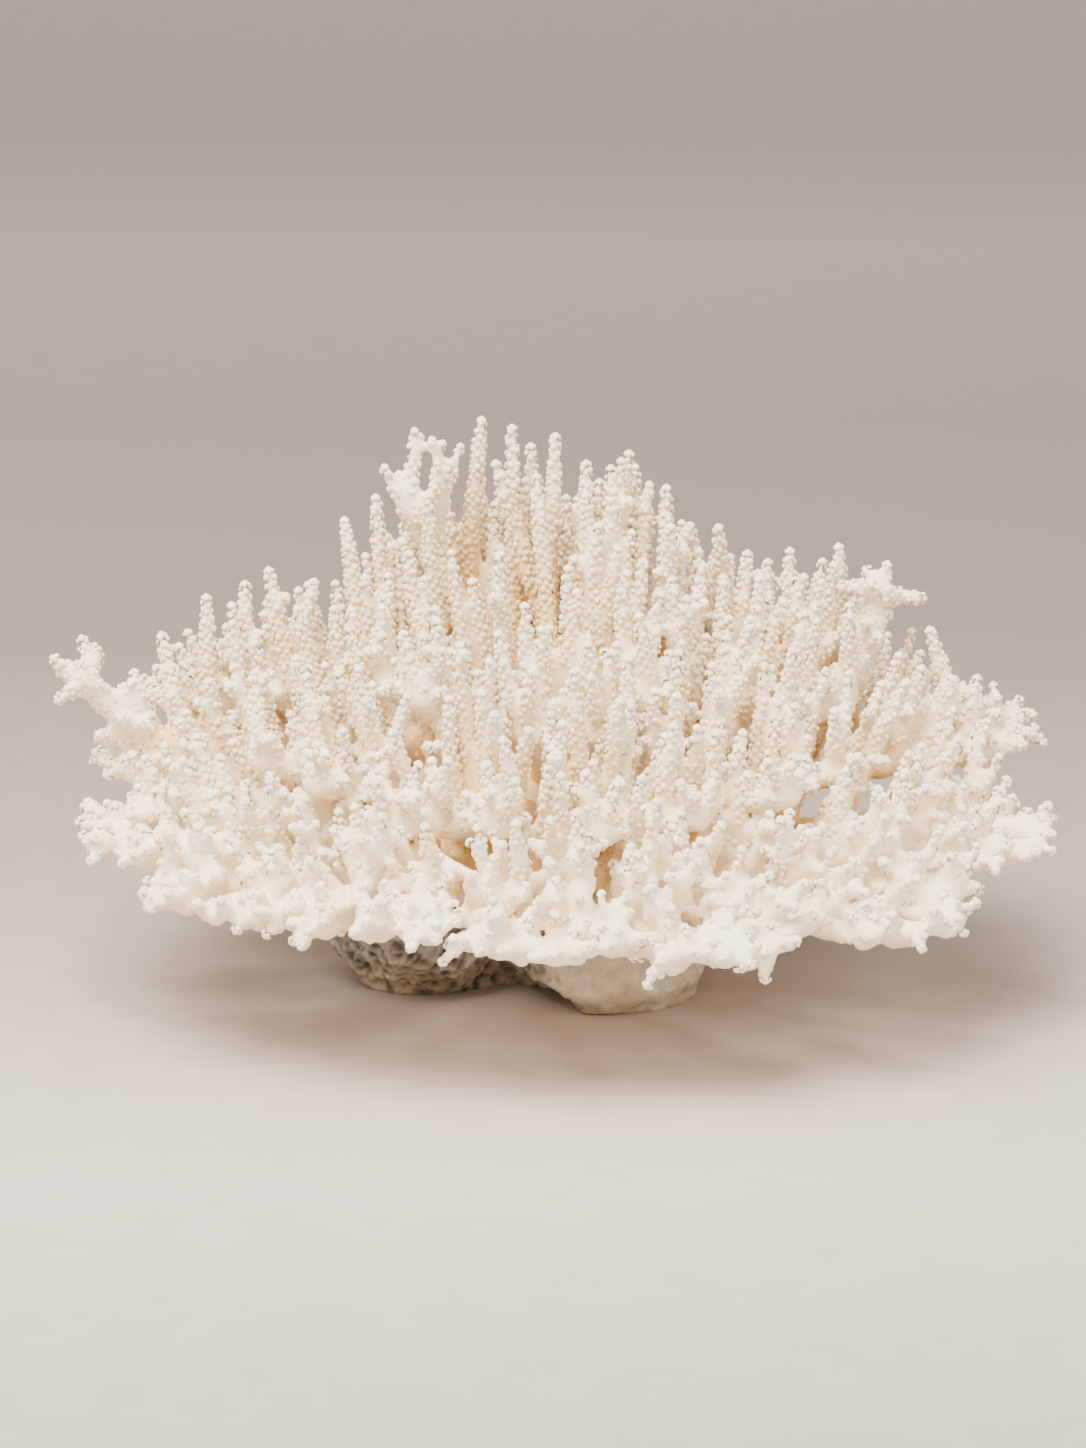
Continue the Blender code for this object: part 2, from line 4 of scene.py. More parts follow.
import bpy
import mathutils
import numpy as np
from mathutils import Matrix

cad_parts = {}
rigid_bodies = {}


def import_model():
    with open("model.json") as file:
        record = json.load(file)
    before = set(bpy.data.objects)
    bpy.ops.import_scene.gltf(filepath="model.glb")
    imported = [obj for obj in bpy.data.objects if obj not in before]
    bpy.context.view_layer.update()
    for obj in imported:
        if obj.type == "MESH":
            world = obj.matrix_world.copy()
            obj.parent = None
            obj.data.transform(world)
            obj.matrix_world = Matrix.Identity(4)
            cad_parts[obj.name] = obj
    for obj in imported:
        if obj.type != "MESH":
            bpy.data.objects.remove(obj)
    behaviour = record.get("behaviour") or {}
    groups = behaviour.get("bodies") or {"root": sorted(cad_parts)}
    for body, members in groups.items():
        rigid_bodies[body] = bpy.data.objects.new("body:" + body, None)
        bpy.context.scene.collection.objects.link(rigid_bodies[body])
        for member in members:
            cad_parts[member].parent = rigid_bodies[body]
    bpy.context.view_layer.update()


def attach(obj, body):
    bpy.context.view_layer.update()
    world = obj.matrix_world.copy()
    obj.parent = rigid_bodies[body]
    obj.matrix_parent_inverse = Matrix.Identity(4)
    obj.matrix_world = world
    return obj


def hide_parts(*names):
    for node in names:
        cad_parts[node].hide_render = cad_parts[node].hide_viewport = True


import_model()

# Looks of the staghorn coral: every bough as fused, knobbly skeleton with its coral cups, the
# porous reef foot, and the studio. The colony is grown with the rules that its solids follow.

MM = 0.001
SEED = 11

# The colony's outline in plan, an ellipse, and the line of its highest tips.
OUTLINE_CENTRE = np.array([2, -2]) * MM
OUTLINE_HALF = np.array([163, 140]) * MM
RIDGE_Y = 34 * MM
EDGE_HEIGHT = 58 * MM
FRONT_POWER = 1.1
BACK_POWER = 1.8
# The ridge from the left side to the right: (x, height of the tips over it).
RIDGE_X, RIDGE_Z = np.array([
    (-160, 74), (-140, 84), (-125, 102), (-108, 120), (-88, 130), (-70, 128), (-62, 140),
    (-48, 156), (-20, 176), (5, 174), (32, 166), (42, 156), (50, 144), (75, 138),
    (98, 136), (112, 126), (125, 112), (142, 94), (160, 74),
]).T * MM

# Trunk: rings of (height, radius), and its middle in plan.
TRUNK_MIDDLE = np.array([-2, 2]) * MM
TRUNK_RINGS = ((30, 33), (36, 34), (44, 34), (54, 36), (63, 34), (71, 26), (76, 13))

# Old reef foot: lobes of (x, y) and ring heights with each lobe's radius there.
FOOT_LOBES = ((-40, 3), (21, -9), (-6, 22))
FOOT_RINGS = (
    (0, (20, 29, 27)), (6, (26, 31, 31)), (14, (31, 28, 33)), (22, (31, 26, 32)), (30, (26, 24, 29)),
    (37, (17, 22, 24)),
)
ARCH_MIDDLE = (-6, -34, 0)
ARCH_HALF = (20, 28, 8)

# Boughs: azimuth in degrees, reach and height of the tip in millimetres.
RIM_ROOT = (24, 53)
RIM_BOUGHS = (
    (-13, 161, 55), (-38, 160, 45), (-64, 145, 45), (-90, 137, 48), (-116, 140, 51), (-140, 146, 50),
    (-164, 150, 56), (172, 146, 70), (150, 148, 80), (127, 137, 74), (103, 133, 72), (79, 134, 72),
    (55, 141, 73), (32, 151, 75), (10, 160, 77),
)
MID_ROOT = (14, 60)
MID_BOUGHS = (
    (-68, 88, 72), (-109, 86, 74), (-152, 92, 82), (158, 96, 94), (114, 92, 88), (84, 90, 98),
    (50, 94, 96), (12, 100, 92), (-28, 98, 79),
)
INNER_ROOT = (9, 66)
INNER_BOUGHS = ((-82, 42, 92), (-22, 46, 102), (48, 48, 118), (203, 50, 102))

# Radii of the boughs where they start, fork and end, in millimetres, and how much wider
# than high they are.
ARM_RADII = {"rim": (4.7, 5.0, 4.5, 3.6), "mid": (6.0, 5.2, 4.0), "inner": (5.6, 5.2, 4.2)}
ARM_WIDTH = 1.25
ARM_CORNERS = 6
ARM_STEP = 23 * MM
# Tries for room for an arm, how much shorter each try after the third is, how far its end
# wanders, and its bow to the side as a share of its length.
ARM_TRIES = 12
FULL_TRIES = 3
ARM_SHRINK = 0.05
ARM_WANDER = np.array([2.5, 2.5, 1.5]) * MM
ARM_BOW = 0.07
# Where the rim boughs fork and split, as shares of (reach, rise), how far each half turns
# there in degrees, and the reach of an arm that turns back or on.
RIM_FORK = (0.38, 0.40)
RIM_SPLIT = (0.67, 0.68)
RIM_TURNS = (6.4, 3.2)
RIM_REACH = (0.94, 0.89)
# Upper tiers: name, root, boughs, turn of each half of the fork in degrees, and the share of
# the reach where they fork.
TIERS = (("mid", MID_ROOT, MID_BOUGHS, 10, 0.5), ("inner", INNER_ROOT, INNER_BOUGHS, 17, 0.55))

# Branchlets: radius of their tips, spacing of the tips, least length, height of the collar
# above the bough that they leave it with, and how far they stray sideways from it.
TWIG_CORNERS = 4
TWIG_TIP = 2.2 * MM
TIP_SPACING = 14.5 * MM
SHORTEST_TWIG = 10 * MM
COLLAR_RISE = 3 * MM
STRAY = 13 * MM
# Outward lean of the branchlets at the outline, as a share of their rise, tries for each
# place with the drop between them, and how squarely a side must face the tip.
TWIG_LEAN = 0.30
TWIG_TRIES = 8
TWIG_DROP = 5 * MM
LEAST_FACING = 0.35
# Radii of the fingers at the ends of rim arms, of the antlers' prongs and of the crown's.
FINGER_TIP = 2.6 * MM
PRONG_TIP = 2.4 * MM
# No branchlet starts within the trunk scaled by this share.
TRUNK_MARGIN = 1.1

# Room between the branches of different boughs, how far two of one bough may come into one
# another, and how near to its root a branchlet isn't tested.
CLEARANCE = 0.7 * MM
OWN_OVERLAP = 0.6 * MM
ROOT_REACH = 9 * MM
BALL_STEP = 2 * MM

# Short fingers at the end of each rim arm, right and left: (turn in degrees, length, rise).
RIM_FINGERS = ((-32, 11, 3), (30, 10, 5))

# Crown: the tall stem at the back left, and for each half of its fan the end of the arm,
# the two tips that it parts into and the tip of a branchlet on its front.
CROWN_STEM = ((-4, 4, 64), (-11, 12, 83), (-21, 24, 105), (-31, 32, 124), (-38, 36, 139))
CROWN_RADII = (6.5, 6.2, 6.0, 6.0, 6.0)
CROWN_FORK_RADII = (5.0, 4.4)
CROWN_FORKS = (
    ((-33, 37, 152), ((-28, 38, 165), (-34, 35, 169)), (-30, 29, 164)),
    ((-45, 33, 151), ((-40, 38, 171), (-51, 34, 161)), (-46, 26, 166)),
)
# Antler-shaped ends: a point above the place that each leaves, then its stem's stations, the
# radii there, and the tips of its prongs. The first stands at the right, the second is the
# long arm that juts out at the left.
ANTLERS = (
    (((99, 21, 92), (104, 23, 103), (107, 24, 115), (111, 27, 131)), (4.4, 4.4, 4.6, 2.4),
     ((97, 25, 125), (106, 17, 127), (120, 24, 121))),
    (((-100, 2, 80), (-126, 1, 81), (-141, -2, 95), (-155, -3, 107)), (5.2, 5.0, 4.8, 2.8),
     ((-141, -9, 84), (-131, -2, 99), (-153, -13, 97), (-144, 6, 109))),
)
# Single branchlets that stand out against the sky: (x, y, z) of the tip.
LONE_TIPS = (
    (-64, 30, 145), (-54, 32, 152), (-20, 40, 176), (-10, 42, 173), (4, 38, 171), (14, 38, 162),
    (22, 40, 160), (32, 42, 163), (40, 38, 154), (57, 38, 141), (96, 36, 135), (-88, 18, 131),
    (-108, 14, 123), (-122, 8, 112), (125, 20, 111), (140, 16, 96), (-15, 28, 164), (-2, 26, 160),
    (-30, 24, 150), (9, 28, 156), (-4, 52, 165), (-28, 52, 154), (14, 52, 156), (66, 30, 134),
    (80, 34, 134), (-74, 24, 126), (-96, 22, 120), (30, 26, 150), (48, 46, 140),
)

# Skin of the boughs: share of the solid's radius at the root and the tip, width over height,
# the length over which a free tip narrows and to what share, and the grid that melts it.
BODY_SHARE = {"arm": (0.95, 0.95), "twig": (0.95, 0.9)}
CROWN_SHARE = (0.95, 0.7)
BODY_WIDTH = {"arm": 1.4, "twig": 1.0}
POINTED_LENGTH = 9 * MM
POINTED_SHARE = 0.74
TUBE_CORNERS = 10
TUBE_STEP = 2.4 * MM
FUSE_SIZE = 1.75 * MM
# The least radius of a tube, as a share of that grid, below which it would melt away.
LEAST_TUBE = 0.85
# Heights between which the skin goes from its low form, knobbly with few large cups, to its
# high form, smoother with many. Pairs below hold a value at the first and at the second.
FORM_HEIGHTS = (56 * MM, 82 * MM)
# Lumps: height and size of the broad and the small ones, and how far the small ones stand
# out more than they sink in.
BROAD_LUMPS = (0.4 * MM, 7 * MM)
SMALL_LUMPS = (np.array([1.25, 0.2]) * MM, 3.2 * MM)
LUMP_LIFT = 0.3
# Length over which the skeleton turns from white tips to cream, a cream that is partly painted shade, and
# how far behind the fingers' tips the end of an arm counts.
WHITE_LENGTH = 52 * MM
END_FINGER = 12 * MM

# Thin branchlets between those of the solids: tries for each arm, spacing, radii and their
# scatter. Then in millimetres how far their tips are beside the arm, outwards of their root,
# under the canopy and at least over the root, and the bow; and the lean as a share of the rise.
INFILL_TRIES = 9
INFILL_SPACING = 9 * MM
INFILL_RADII = np.array([3.3, 3.0, 2.0]) * MM
INFILL_SCATTER = (0.85, 1.1)
INFILL_BESIDE = (-9, 9)
INFILL_OUT = (-3, 5)
INFILL_DROP = (2, 24)
INFILL_RISE = (6, 10)
INFILL_BOW = (0, 3)
INFILL_LEAN = 0.3
# Short fingers by what they grow from: how many (on a branchlet, a random number), how far
# out they reach at most in millimetres, how strongly they turn upwards, and their thickness.
FINGERS = {
    "crown_arm": (3, 15, 2.2, 1.9 * MM),
    "crown_branchlet": (3, 6, 2.2, 1.9 * MM),
    "antler": (14, 3.5, 0.15, None),
    "last_arm": (7, 6, 0.15, None),
    "branchlet": (None, 6, 0.15, 2.6 * MM),
}
# Thickness of the others, places along a branch, and least reach in millimetres.
FINGER_RADII = (2.4, 3.3)
FINGER_PLACES = (0.3, 0.95)
FINGER_REACH = 2
# How far below level they go round an arm, in radians, how much they lean forwards along the
# branch, their taper, and how thick they may be for the branch's own radius.
FINGER_BELOW = 0.35
FINGER_FORWARD = (0.3, 0.9)
FINGER_TAPER = np.array([1.2, 1.1, 1.0])
FINGER_OVER = 1.15
# A branchlet that starts below this height has one finger more.
LOW_BRANCHLET = 66 * MM

# Coral cups: pitch of their spiral, radius, height, share of the places on it that have a
# cup, and the share of a branch next to its root that is bare, its last part not counted.
CUP_PITCH = 2.4 * MM
CUP_RADIUS = 1.2 * MM
CUP_HEIGHT = 0.72 * MM
CUP_SHARE = {"arm": 0.35, "twig": 0.9}
CUPLESS = {"arm": 0.66, "twig": 0.35}
CUP_END = 12 * MM
# Share of them at the end of the bare part, and the length over which all of them come in.
CUP_ONSET = (0.2, 9 * MM)
# Pairs for low and high cups: how many, how large and how tall.
CUP_COUNTS = (0.22, 1)
CUP_SIZES = (1.25, 1)
CUP_RISES = (0.65, 1)
# Scatter along the spiral, round the branch, of the lean towards the tip, and of the size.
CUP_SHIFT = 0.8
CUP_TURN = 0.12
CUP_LEAN = (0.5, 0.16)
CUP_SPREAD = (0.72, 1.28)
# Share of the branch's radius where a cup stands, depth and rise as shares of its height,
# and its mouth over its foot. Another branch covers it within this share of that one's radius.
CUP_ROOT = 0.92
CUP_DEPTH = 0.45
CUP_TOP = 0.95
CUP_MOUTH = 0.55
CUP_COVER = 0.85
# Cups on a free tip, one on top and four round it: angle up from the side in degrees, size.
TIP_ANGLES = np.array([90, 35, 35, 35, 35])
TIP_SIZES = (1.1, 0.9, 0.9, 0.9, 0.9)
# Age and painted shade added to the cups of a branch that forks, which lies deeper in the colony, and
# painted shade for every cup: more at its foot where it meets the branch, less at its mouth.
FORKED_AGE_AND_SHADE = 0.3
CUP_PAINTED_SHADES = (0.25, -0.06)
GOLDEN_ANGLE = math.pi * (3 - math.sqrt(5))

# Trunk: sides, levels, the height that its lumps stand out from, and their (height, size).
TRUNK_SIDES = 110
TRUNK_LEVELS = 34
TRUNK_HEART = 50 * MM
TRUNK_LUMPS = ((0.8 * MM, 7 * MM), (0.3 * MM, 2.5 * MM))
# Foot: sides, levels, rings of the underside, and the grid that melts it.
FOOT_SIDES = 240
FOOT_LEVELS = 38
UNDERSIDE_RINGS = 12
ROCK_GRAIN = 1.0 * MM
# Lumps of the foot as (height in millimetres, size, seed), and its pits, large and small:
# size of their web, how steep they are, and depth in millimetres.
FOOT_LUMPS = ((2.4, 15 * MM, 2), (1.7, 7 * MM, 3), (0.7, 2.8 * MM, 5))
PIT_SIZE, PIT_EDGE, PIT_SLOPE, PIT_DEPTH = 3.4 * MM, 1.3, 0.48, 1.9
SMALL_PIT_SIZE, SMALL_PIT_EDGE, SMALL_PIT_SLOPE, SMALL_PIT_DEPTH = 1.9 * MM, 1.2, 0.42, 0.8
# How far a swirl pushes the pits aside, its size, and the height that rests flat.
SWIRL = 1.6 * MM
SWIRL_SIZE = 3.5 * MM
RESTING_HEIGHT = 1.5 * MM
# A ring of this share of its radius closes the end of a loft.
POLE = 0.001

# Seed of what only the looks have.
LOOKS_SEED = 5
# Studio in metres: the floor's half width, front and back, the radius of its bend up into
# the backdrop, and how high that goes.
FLOOR_HALF_WIDTH = 5
FLOOR_FRONT = -3
FLOOR_BACK = 2.2
BEND = 1.2
BACKDROP_TOP = 4
# The photo's view: elevation in degrees, distance, height looked at and lens in millimetres.
VIEW_ELEVATION = 14
VIEW_DISTANCE = 1.6
VIEW_HEIGHT = 0.0855
VIEW_LENS = 124.3


def polar(azimuth, reach, height):
    """The point at this azimuth in degrees, reach and height, the last two in millimetres."""
    angle = math.radians(azimuth)
    return np.array([reach * math.cos(angle), reach * math.sin(angle), height]) * MM


def canopy(x, y):
    """Height of the branchlet tips over a point of the plan: highest on the ridge line,
    falling to the edge height at the outline in front of it and behind it."""
    across = min(abs(x - OUTLINE_CENTRE[0]) / OUTLINE_HALF[0], 0.98)
    edge = OUTLINE_HALF[1] * math.sqrt(1 - across**2)
    ridge_y = RIDGE_Y * (1 - across**2)
    front = y < ridge_y
    span = edge + ridge_y - OUTLINE_CENTRE[1] if front else edge - ridge_y + OUTLINE_CENTRE[1]
    share = min(abs(y - ridge_y) / span, 1.1)
    top = np.interp(x, RIDGE_X, RIDGE_Z)
    return EDGE_HEIGHT + (top - EDGE_HEIGHT) * (1 - share ** (FRONT_POWER if front else BACK_POWER))


def inside_trunk(points, share=1.0):
    """Which points lie in the trunk, or in the trunk scaled by a share."""
    heights, radii = (np.array(column) * MM for column in zip(*TRUNK_RINGS))
    allowed = np.interp(points[:, 2], heights, radii, left=0, right=0)
    return np.linalg.norm(points[:, :2] - TRUNK_MIDDLE, axis=1) < share * allowed


def smooth_path(points, count):
    """A path of count points along the Catmull-Rom curve through the given points."""
    given = np.asarray(points, float)
    ends = np.vstack([2 * given[0] - given[1], given, 2 * given[-1] - given[-2]])
    path = []
    for s in np.linspace(0, len(given) - 1, count):
        i = min(int(s), len(given) - 2)
        t = s - i
        a, b, c, d = ends[i : i + 4]
        path.append(b + 0.5 * t * (c - a + t * (2 * a - 5 * b + 4 * c - d + t * (3 * b - a - 3 * c + d))))
    return np.array(path)


def along(path, where):
    """The point of a path, or the value of a list, at a place counted in its own steps."""
    steps = np.arange(len(path))
    if path.ndim == 1:
        return np.interp(where, steps, path)
    return np.stack([np.interp(where, steps, path[:, k]) for k in range(3)], axis=-1)


class Branch:
    """An arm or a branchlet: stations along it, their radii and what grows from it."""

    def __init__(self, bough, kind, path, radii, across, parent=None):
        self.bough = bough
        self.kind = kind
        self.path = path
        self.radii = radii
        # The direction that its cross sections take as their own X.
        self.across = across
        self.parent = parent
        self.corners = ARM_CORNERS if kind == "arm" else TWIG_CORNERS
        self.forks = []
        self.sides = {}

    def run(self, station):
        """Direction of growth at a station."""
        before, after = self.path[max(station - 1, 0)], self.path[min(station + 1, len(self.path) - 1)]
        return (after - before) / np.linalg.norm(after - before)

    def section_axes(self, station):
        """The two directions that span the cross section at a station."""
        run = self.run(station)
        x_axis = self.across - run * (self.across @ run)
        x_axis /= np.linalg.norm(x_axis)
        return x_axis, np.cross(x_axis, run)

    def outward(self, segment, side):
        """The direction that one side of a segment faces."""
        x_axis, y_axis = self.section_axes(segment)
        angle = 2 * math.pi * (side + 1) / self.corners
        return math.cos(angle) * x_axis + math.sin(angle) * y_axis

    def collar(self, segment, side):
        """Where a branchlet on one side of a segment starts, and where it clears the surface."""
        root = (self.path[segment] + self.path[segment + 1]) / 2
        return root, root + self.outward(segment, side) * (self.radii[segment] + COLLAR_RISE)

    def side_towards(self, segment, target):
        """The free side of a segment that faces a point best, or None if none faces it."""
        way = target - (self.path[segment] + self.path[segment + 1]) / 2
        best, best_facing = None, LEAST_FACING
        for side in range(self.corners):
            facing = self.outward(segment, side) @ way / np.linalg.norm(way)
            if facing > best_facing and (segment, side) not in self.sides:
                best, best_facing = side, facing
        return best


class Colony:
    """The branches grown so far, and the space that they take, held as balls."""

    def __init__(self):
        self.random = np.random.default_rng(SEED)
        self.branches = []
        self.boughs = {}
        self.balls = np.zeros((0, 4))
        self.ball_branch = np.zeros(0, int)
        self.tips = np.zeros((1, 3))

    def balls_along(self, branch):
        """Balls of (x, y, z, radius) along a branch, leaving out those inside the trunk."""
        length = np.linalg.norm(np.diff(branch.path, axis=0), axis=1).sum()
        where = np.linspace(0, len(branch.path) - 1, max(3, int(length / BALL_STEP)))
        width = ARM_WIDTH if branch.kind == "arm" else 1
        balls = np.column_stack([along(branch.path, where), along(branch.radii, where) * width])
        return balls[~inside_trunk(balls[:, :3])]

    def clear(self, branch):
        """True if a branch keeps clear of other boughs and, away from its root, of its own."""
        mine = self.balls_along(branch)
        if not len(mine) or not len(self.balls):
            return True
        distance = np.linalg.norm(mine[:, None, :3] - self.balls[None, :, :3], axis=2)
        room = distance - mine[:, None, 3] - self.balls[None, :, 3]
        same_bough = np.array([other.bough == branch.bough for other in self.branches])[self.ball_branch]
        if room[:, ~same_bough].min(initial=1) < CLEARANCE:
            return False
        if branch.kind == "arm":
            return True
        related = np.array([
            other is branch.parent or np.linalg.norm(other.path[0] - branch.path[0]) < 1 * MM
            for other in self.branches
        ])[self.ball_branch]
        free_part = np.linalg.norm(mine[:, :3] - branch.path[0], axis=1) > ROOT_REACH
        return room[free_part][:, same_bough & ~related].min(initial=1) > -OWN_OVERLAP

    def add(self, branch):
        """Keeps a branch, and the balls of the space that it takes."""
        balls = self.balls_along(branch)
        self.balls = np.vstack([self.balls, balls])
        self.ball_branch = np.append(self.ball_branch, np.full(len(balls), len(self.branches)))
        self.branches.append(branch)
        if branch.parent is None:
            self.boughs[branch.bough] = branch
        if branch.kind == "twig":
            self.tips = np.vstack([self.tips, branch.path[-1]])
        return branch

    def arm(self, bough, parent, start, end, radii, sag=0.0):
        """Grows an arm from start towards end, bowed sideways a little, and shorter if it would
        meet another bough. Without room, or without the arm it should leave, there is none."""
        for attempt in range(ARM_TRIES):
            reach = 1 - ARM_SHRINK * max(0, attempt - FULL_TRIES)
            wander = self.random.uniform(-1, 1, 3) * ARM_WANDER
            run = (end - start) * reach + wander
            sideways = np.array([-run[1], run[0], 0]) * self.random.uniform(-ARM_BOW, ARM_BOW)
            middle = start + run / 2 + sideways - np.array([0, 0, sag * MM])
            segments = max(1, round(np.linalg.norm(run) / ARM_STEP))
            path = smooth_path([start, middle, start + run], segments + 1)
            across = np.cross(run, (0, 0, 1))
            branch = Branch(
                bough, "arm", path, np.linspace(radii[0], radii[1], segments + 1) * MM,
                across / np.linalg.norm(across), parent,
            )
            if self.clear(branch):
                if parent is not None:
                    parent.forks.append(branch)
                return self.add(branch)
        return None

    def side_twig(self, parent, segment, tip, tip_radius):
        """Grows a branchlet to tip from a free side of a segment of its parent, if it has room.
        It leaves that side squarely, up to a collar, and from there runs to its tip."""
        side = parent.side_towards(segment, tip)
        if side is None:
            return None
        root, collar = parent.collar(segment, side)
        thick = twig_radius(tip[2] - root[2])
        radii = np.array([thick, thick, tip_radius])
        branch = Branch(
            parent.bough, "twig", np.array([root, collar, tip]), radii, parent.run(segment), parent
        )
        if not self.clear(branch):
            return None
        parent.sides[segment, side] = branch
        return self.add(branch)

    def end_twigs(self, parent, tips, tip_radius):
        """Grows the fingers that an arm's end parts into, from its right side to its left."""
        for tip in tips:
            path = np.array([parent.path[-1], tip])
            radii = np.array([twig_radius(tip[2] - path[0][2]), tip_radius])
            branch = Branch(parent.bough, "twig", path, radii, parent.across, parent)
            if self.clear(branch):
                parent.forks.append(self.add(branch))


def twig_radius(rise):
    """How thick a branchlet of this height is near its root."""
    return np.interp(rise, [10 * MM, 60 * MM], [3.2 * MM, 4.1 * MM])


def grow_rim(colony):
    """The boughs of the lowest tier, which fork twice and end in short fingers at the outline."""
    start, fork, split, end = ARM_RADII["rim"]
    for number, (azimuth, reach, height) in enumerate(RIM_BOUGHS, 1):
        bough = f"rim_bough_{number:02d}"
        rise = height - RIM_ROOT[1]
        root = polar(azimuth, *RIM_ROOT)
        goal = polar(azimuth, RIM_FORK[0] * reach, RIM_ROOT[1] + RIM_FORK[1] * rise - 2)
        first = colony.arm(bough, None, root, goal, (start, fork), 1)
        for turn in (-RIM_TURNS[0], RIM_TURNS[0]):
            goal = polar(azimuth + turn, RIM_SPLIT[0] * reach, RIM_ROOT[1] + RIM_SPLIT[1] * rise)
            second = colony.arm(bough, first, first.path[-1], goal, (fork, split), 0.5)
            if second is None:
                continue
            for outer in (-RIM_TURNS[1], RIM_TURNS[1]):
                length = reach * RIM_REACH[0 if outer * turn < 0 else 1]
                goal = polar(azimuth + turn + outer, length, height)
                third = colony.arm(bough, second, second.path[-1], goal, (split, end), 1)
                if third is not None:
                    grow_rim_fingers(colony, third)


def grow_rim_fingers(colony, arm):
    """The two short fingers at the end of a rim arm."""
    tip = arm.path[-1]
    heading = math.degrees(math.atan2(tip[1], tip[0]))
    tips = [tip + polar(heading + turn, length, rise) for turn, length, rise in RIM_FINGERS]
    colony.end_twigs(arm, tips, FINGER_TIP)


def grow_upper(colony):
    """The middle and inner boughs, which rise more steeply, fork once and end in two fingers."""
    for tier, root, table, spread, fork_at in TIERS:
        start, fork, end = ARM_RADII[tier]
        for number, (azimuth, reach, height) in enumerate(table, 1):
            bough = f"{tier}_bough_{number:02d}"
            goal = polar(azimuth, fork_at * reach, root[1] + 0.5 * (height - root[1]))
            first = colony.arm(bough, None, polar(azimuth, *root), goal, (start, fork))
            for turn in (-spread, spread):
                goal = polar(azimuth + turn, reach, height)
                second = colony.arm(bough, first, first.path[-1], goal, (fork, end), 1.5)
                if second is not None:
                    grow_end_pair(colony, second)


def grow_end_pair(colony, arm):
    """Parts an arm's end into two branchlets that rise to the canopy, the second lower."""
    tips = []
    for side, drop in ((1, 3), (-1, 12)):
        plan = arm.path[-1][:2] + arm.across[:2] * side * colony.random.uniform(4, 9) * MM
        height = canopy(*plan) - (drop + colony.random.uniform(-3, 6)) * MM
        tips.append(np.array([*plan, max(height, arm.path[-1][2] + SHORTEST_TWIG)]))
    colony.end_twigs(arm, tips, TWIG_TIP)


def grow_crown(colony):
    """The tall stem at the back left, which opens into a fan of fingers."""
    across = np.array([1.0, 0, 0])
    stem = Branch("crown_bough", "arm", np.array(CROWN_STEM) * MM, np.array(CROWN_RADII) * MM, across)
    colony.add(stem)
    for end, tips, front_tip in CROWN_FORKS:
        path = np.array([stem.path[-1], np.array(end) * MM])
        fork = colony.add(Branch("crown_bough", "arm", path, np.array(CROWN_FORK_RADII) * MM, across, stem))
        stem.forks.append(fork)
        colony.end_twigs(fork, np.array(tips) * MM, FINGER_TIP)
        colony.side_twig(fork, 0, np.array(front_tip) * MM, FINGER_TIP)


def places_below(colony, tip):
    """Places on the arms, as (arm, segment), from the one below a tip to the farthest."""
    places = []
    for arm in colony.branches:
        if arm.kind != "arm" or arm.bough == "crown_bough":
            continue
        for segment in range(len(arm.path) - 1):
            root = (arm.path[segment] + arm.path[segment + 1]) / 2
            away = tip - root
            if away[2] > SHORTEST_TWIG and not inside_trunk(root[None], TRUNK_MARGIN)[0]:
                cost = np.linalg.norm(away) + 2.5 * np.linalg.norm(away[:2])
                places.append((cost, len(places), arm, segment))
    return [place[2:] for place in sorted(places)]


def grow_skyline(colony):
    """The antler-shaped ends and the single branchlets of the skyline."""
    for stations, radii, prongs in ANTLERS:
        grow_antler(colony, np.array(stations) * MM, np.array(radii) * MM, np.array(prongs) * MM)
    for tip in np.array(LONE_TIPS) * MM:
        for arm, segment in places_below(colony, tip)[:5]:
            if colony.side_twig(arm, segment, tip, TWIG_TIP):
                break


def grow_antler(colony, stations, radii, prongs):
    """A thick stem from the first place below it with room, with prongs on its upper half."""
    for arm, segment in places_below(colony, stations[0]):
        side = arm.side_towards(segment, stations[1])
        if side is None:
            continue
        root, collar = arm.collar(segment, side)
        path = np.vstack([root, collar, stations[1:]])
        stem = Branch(arm.bough, "twig", path, np.append(radii[0], radii), arm.run(segment), arm)
        if colony.clear(stem):
            break
    arm.sides[segment, side] = colony.add(stem)
    for tip in prongs:
        lengths = [np.linalg.norm(tip - (stem.path[k] + stem.path[k + 1]) / 2) for k in (2, 3)]
        colony.side_twig(stem, 2 + int(np.argmin(lengths)), tip, PRONG_TIP)


def grow_twigs(colony):
    """Branchlets on both upper sides of every segment of the arms, up to the canopy."""
    for arm in [branch for branch in colony.branches if branch.kind == "arm"]:
        for segment in range(len(arm.path) - 1):
            root = (arm.path[segment] + arm.path[segment + 1]) / 2
            if inside_trunk(root[None], TRUNK_MARGIN)[0] or arm.bough == "crown_bough":
                continue
            for side in (1, -1):
                grow_twig_at(colony, arm, segment, root, side)


def grow_twig_at(colony, arm, segment, root, side):
    """Tries a few tips on one side of a place on an arm, each lower than the last, and keeps
    the first with room."""
    out = root[:2] / np.linalg.norm(root[:2])
    lean = TWIG_LEAN * np.linalg.norm(root[:2]) / OUTLINE_HALF[1]
    for attempt in range(TWIG_TRIES):
        stray = colony.random.uniform(0.1, 1) * side * arm.across[:2]
        beside = root[:2] + (stray + colony.random.uniform(-0.6, 0.6) * out) * STRAY
        plan = beside + out * lean * max(canopy(*beside) - root[2], 0)
        drop = colony.random.uniform(0, 9) * MM + TWIG_DROP * attempt
        tip = np.array([*plan, max(canopy(*plan) - drop, root[2] + SHORTEST_TWIG)])
        if np.linalg.norm(colony.tips - tip, axis=1).min() < TIP_SPACING:
            continue
        if colony.side_twig(arm, segment, tip, TWIG_TIP):
            return


def grow_colony():
    """The whole colony; the order matters, as every branch keeps clear of those before it."""
    colony = Colony()
    grow_crown(colony)
    grow_rim(colony)
    grow_upper(colony)
    grow_skyline(colony)
    grow_twigs(colony)
    return colony


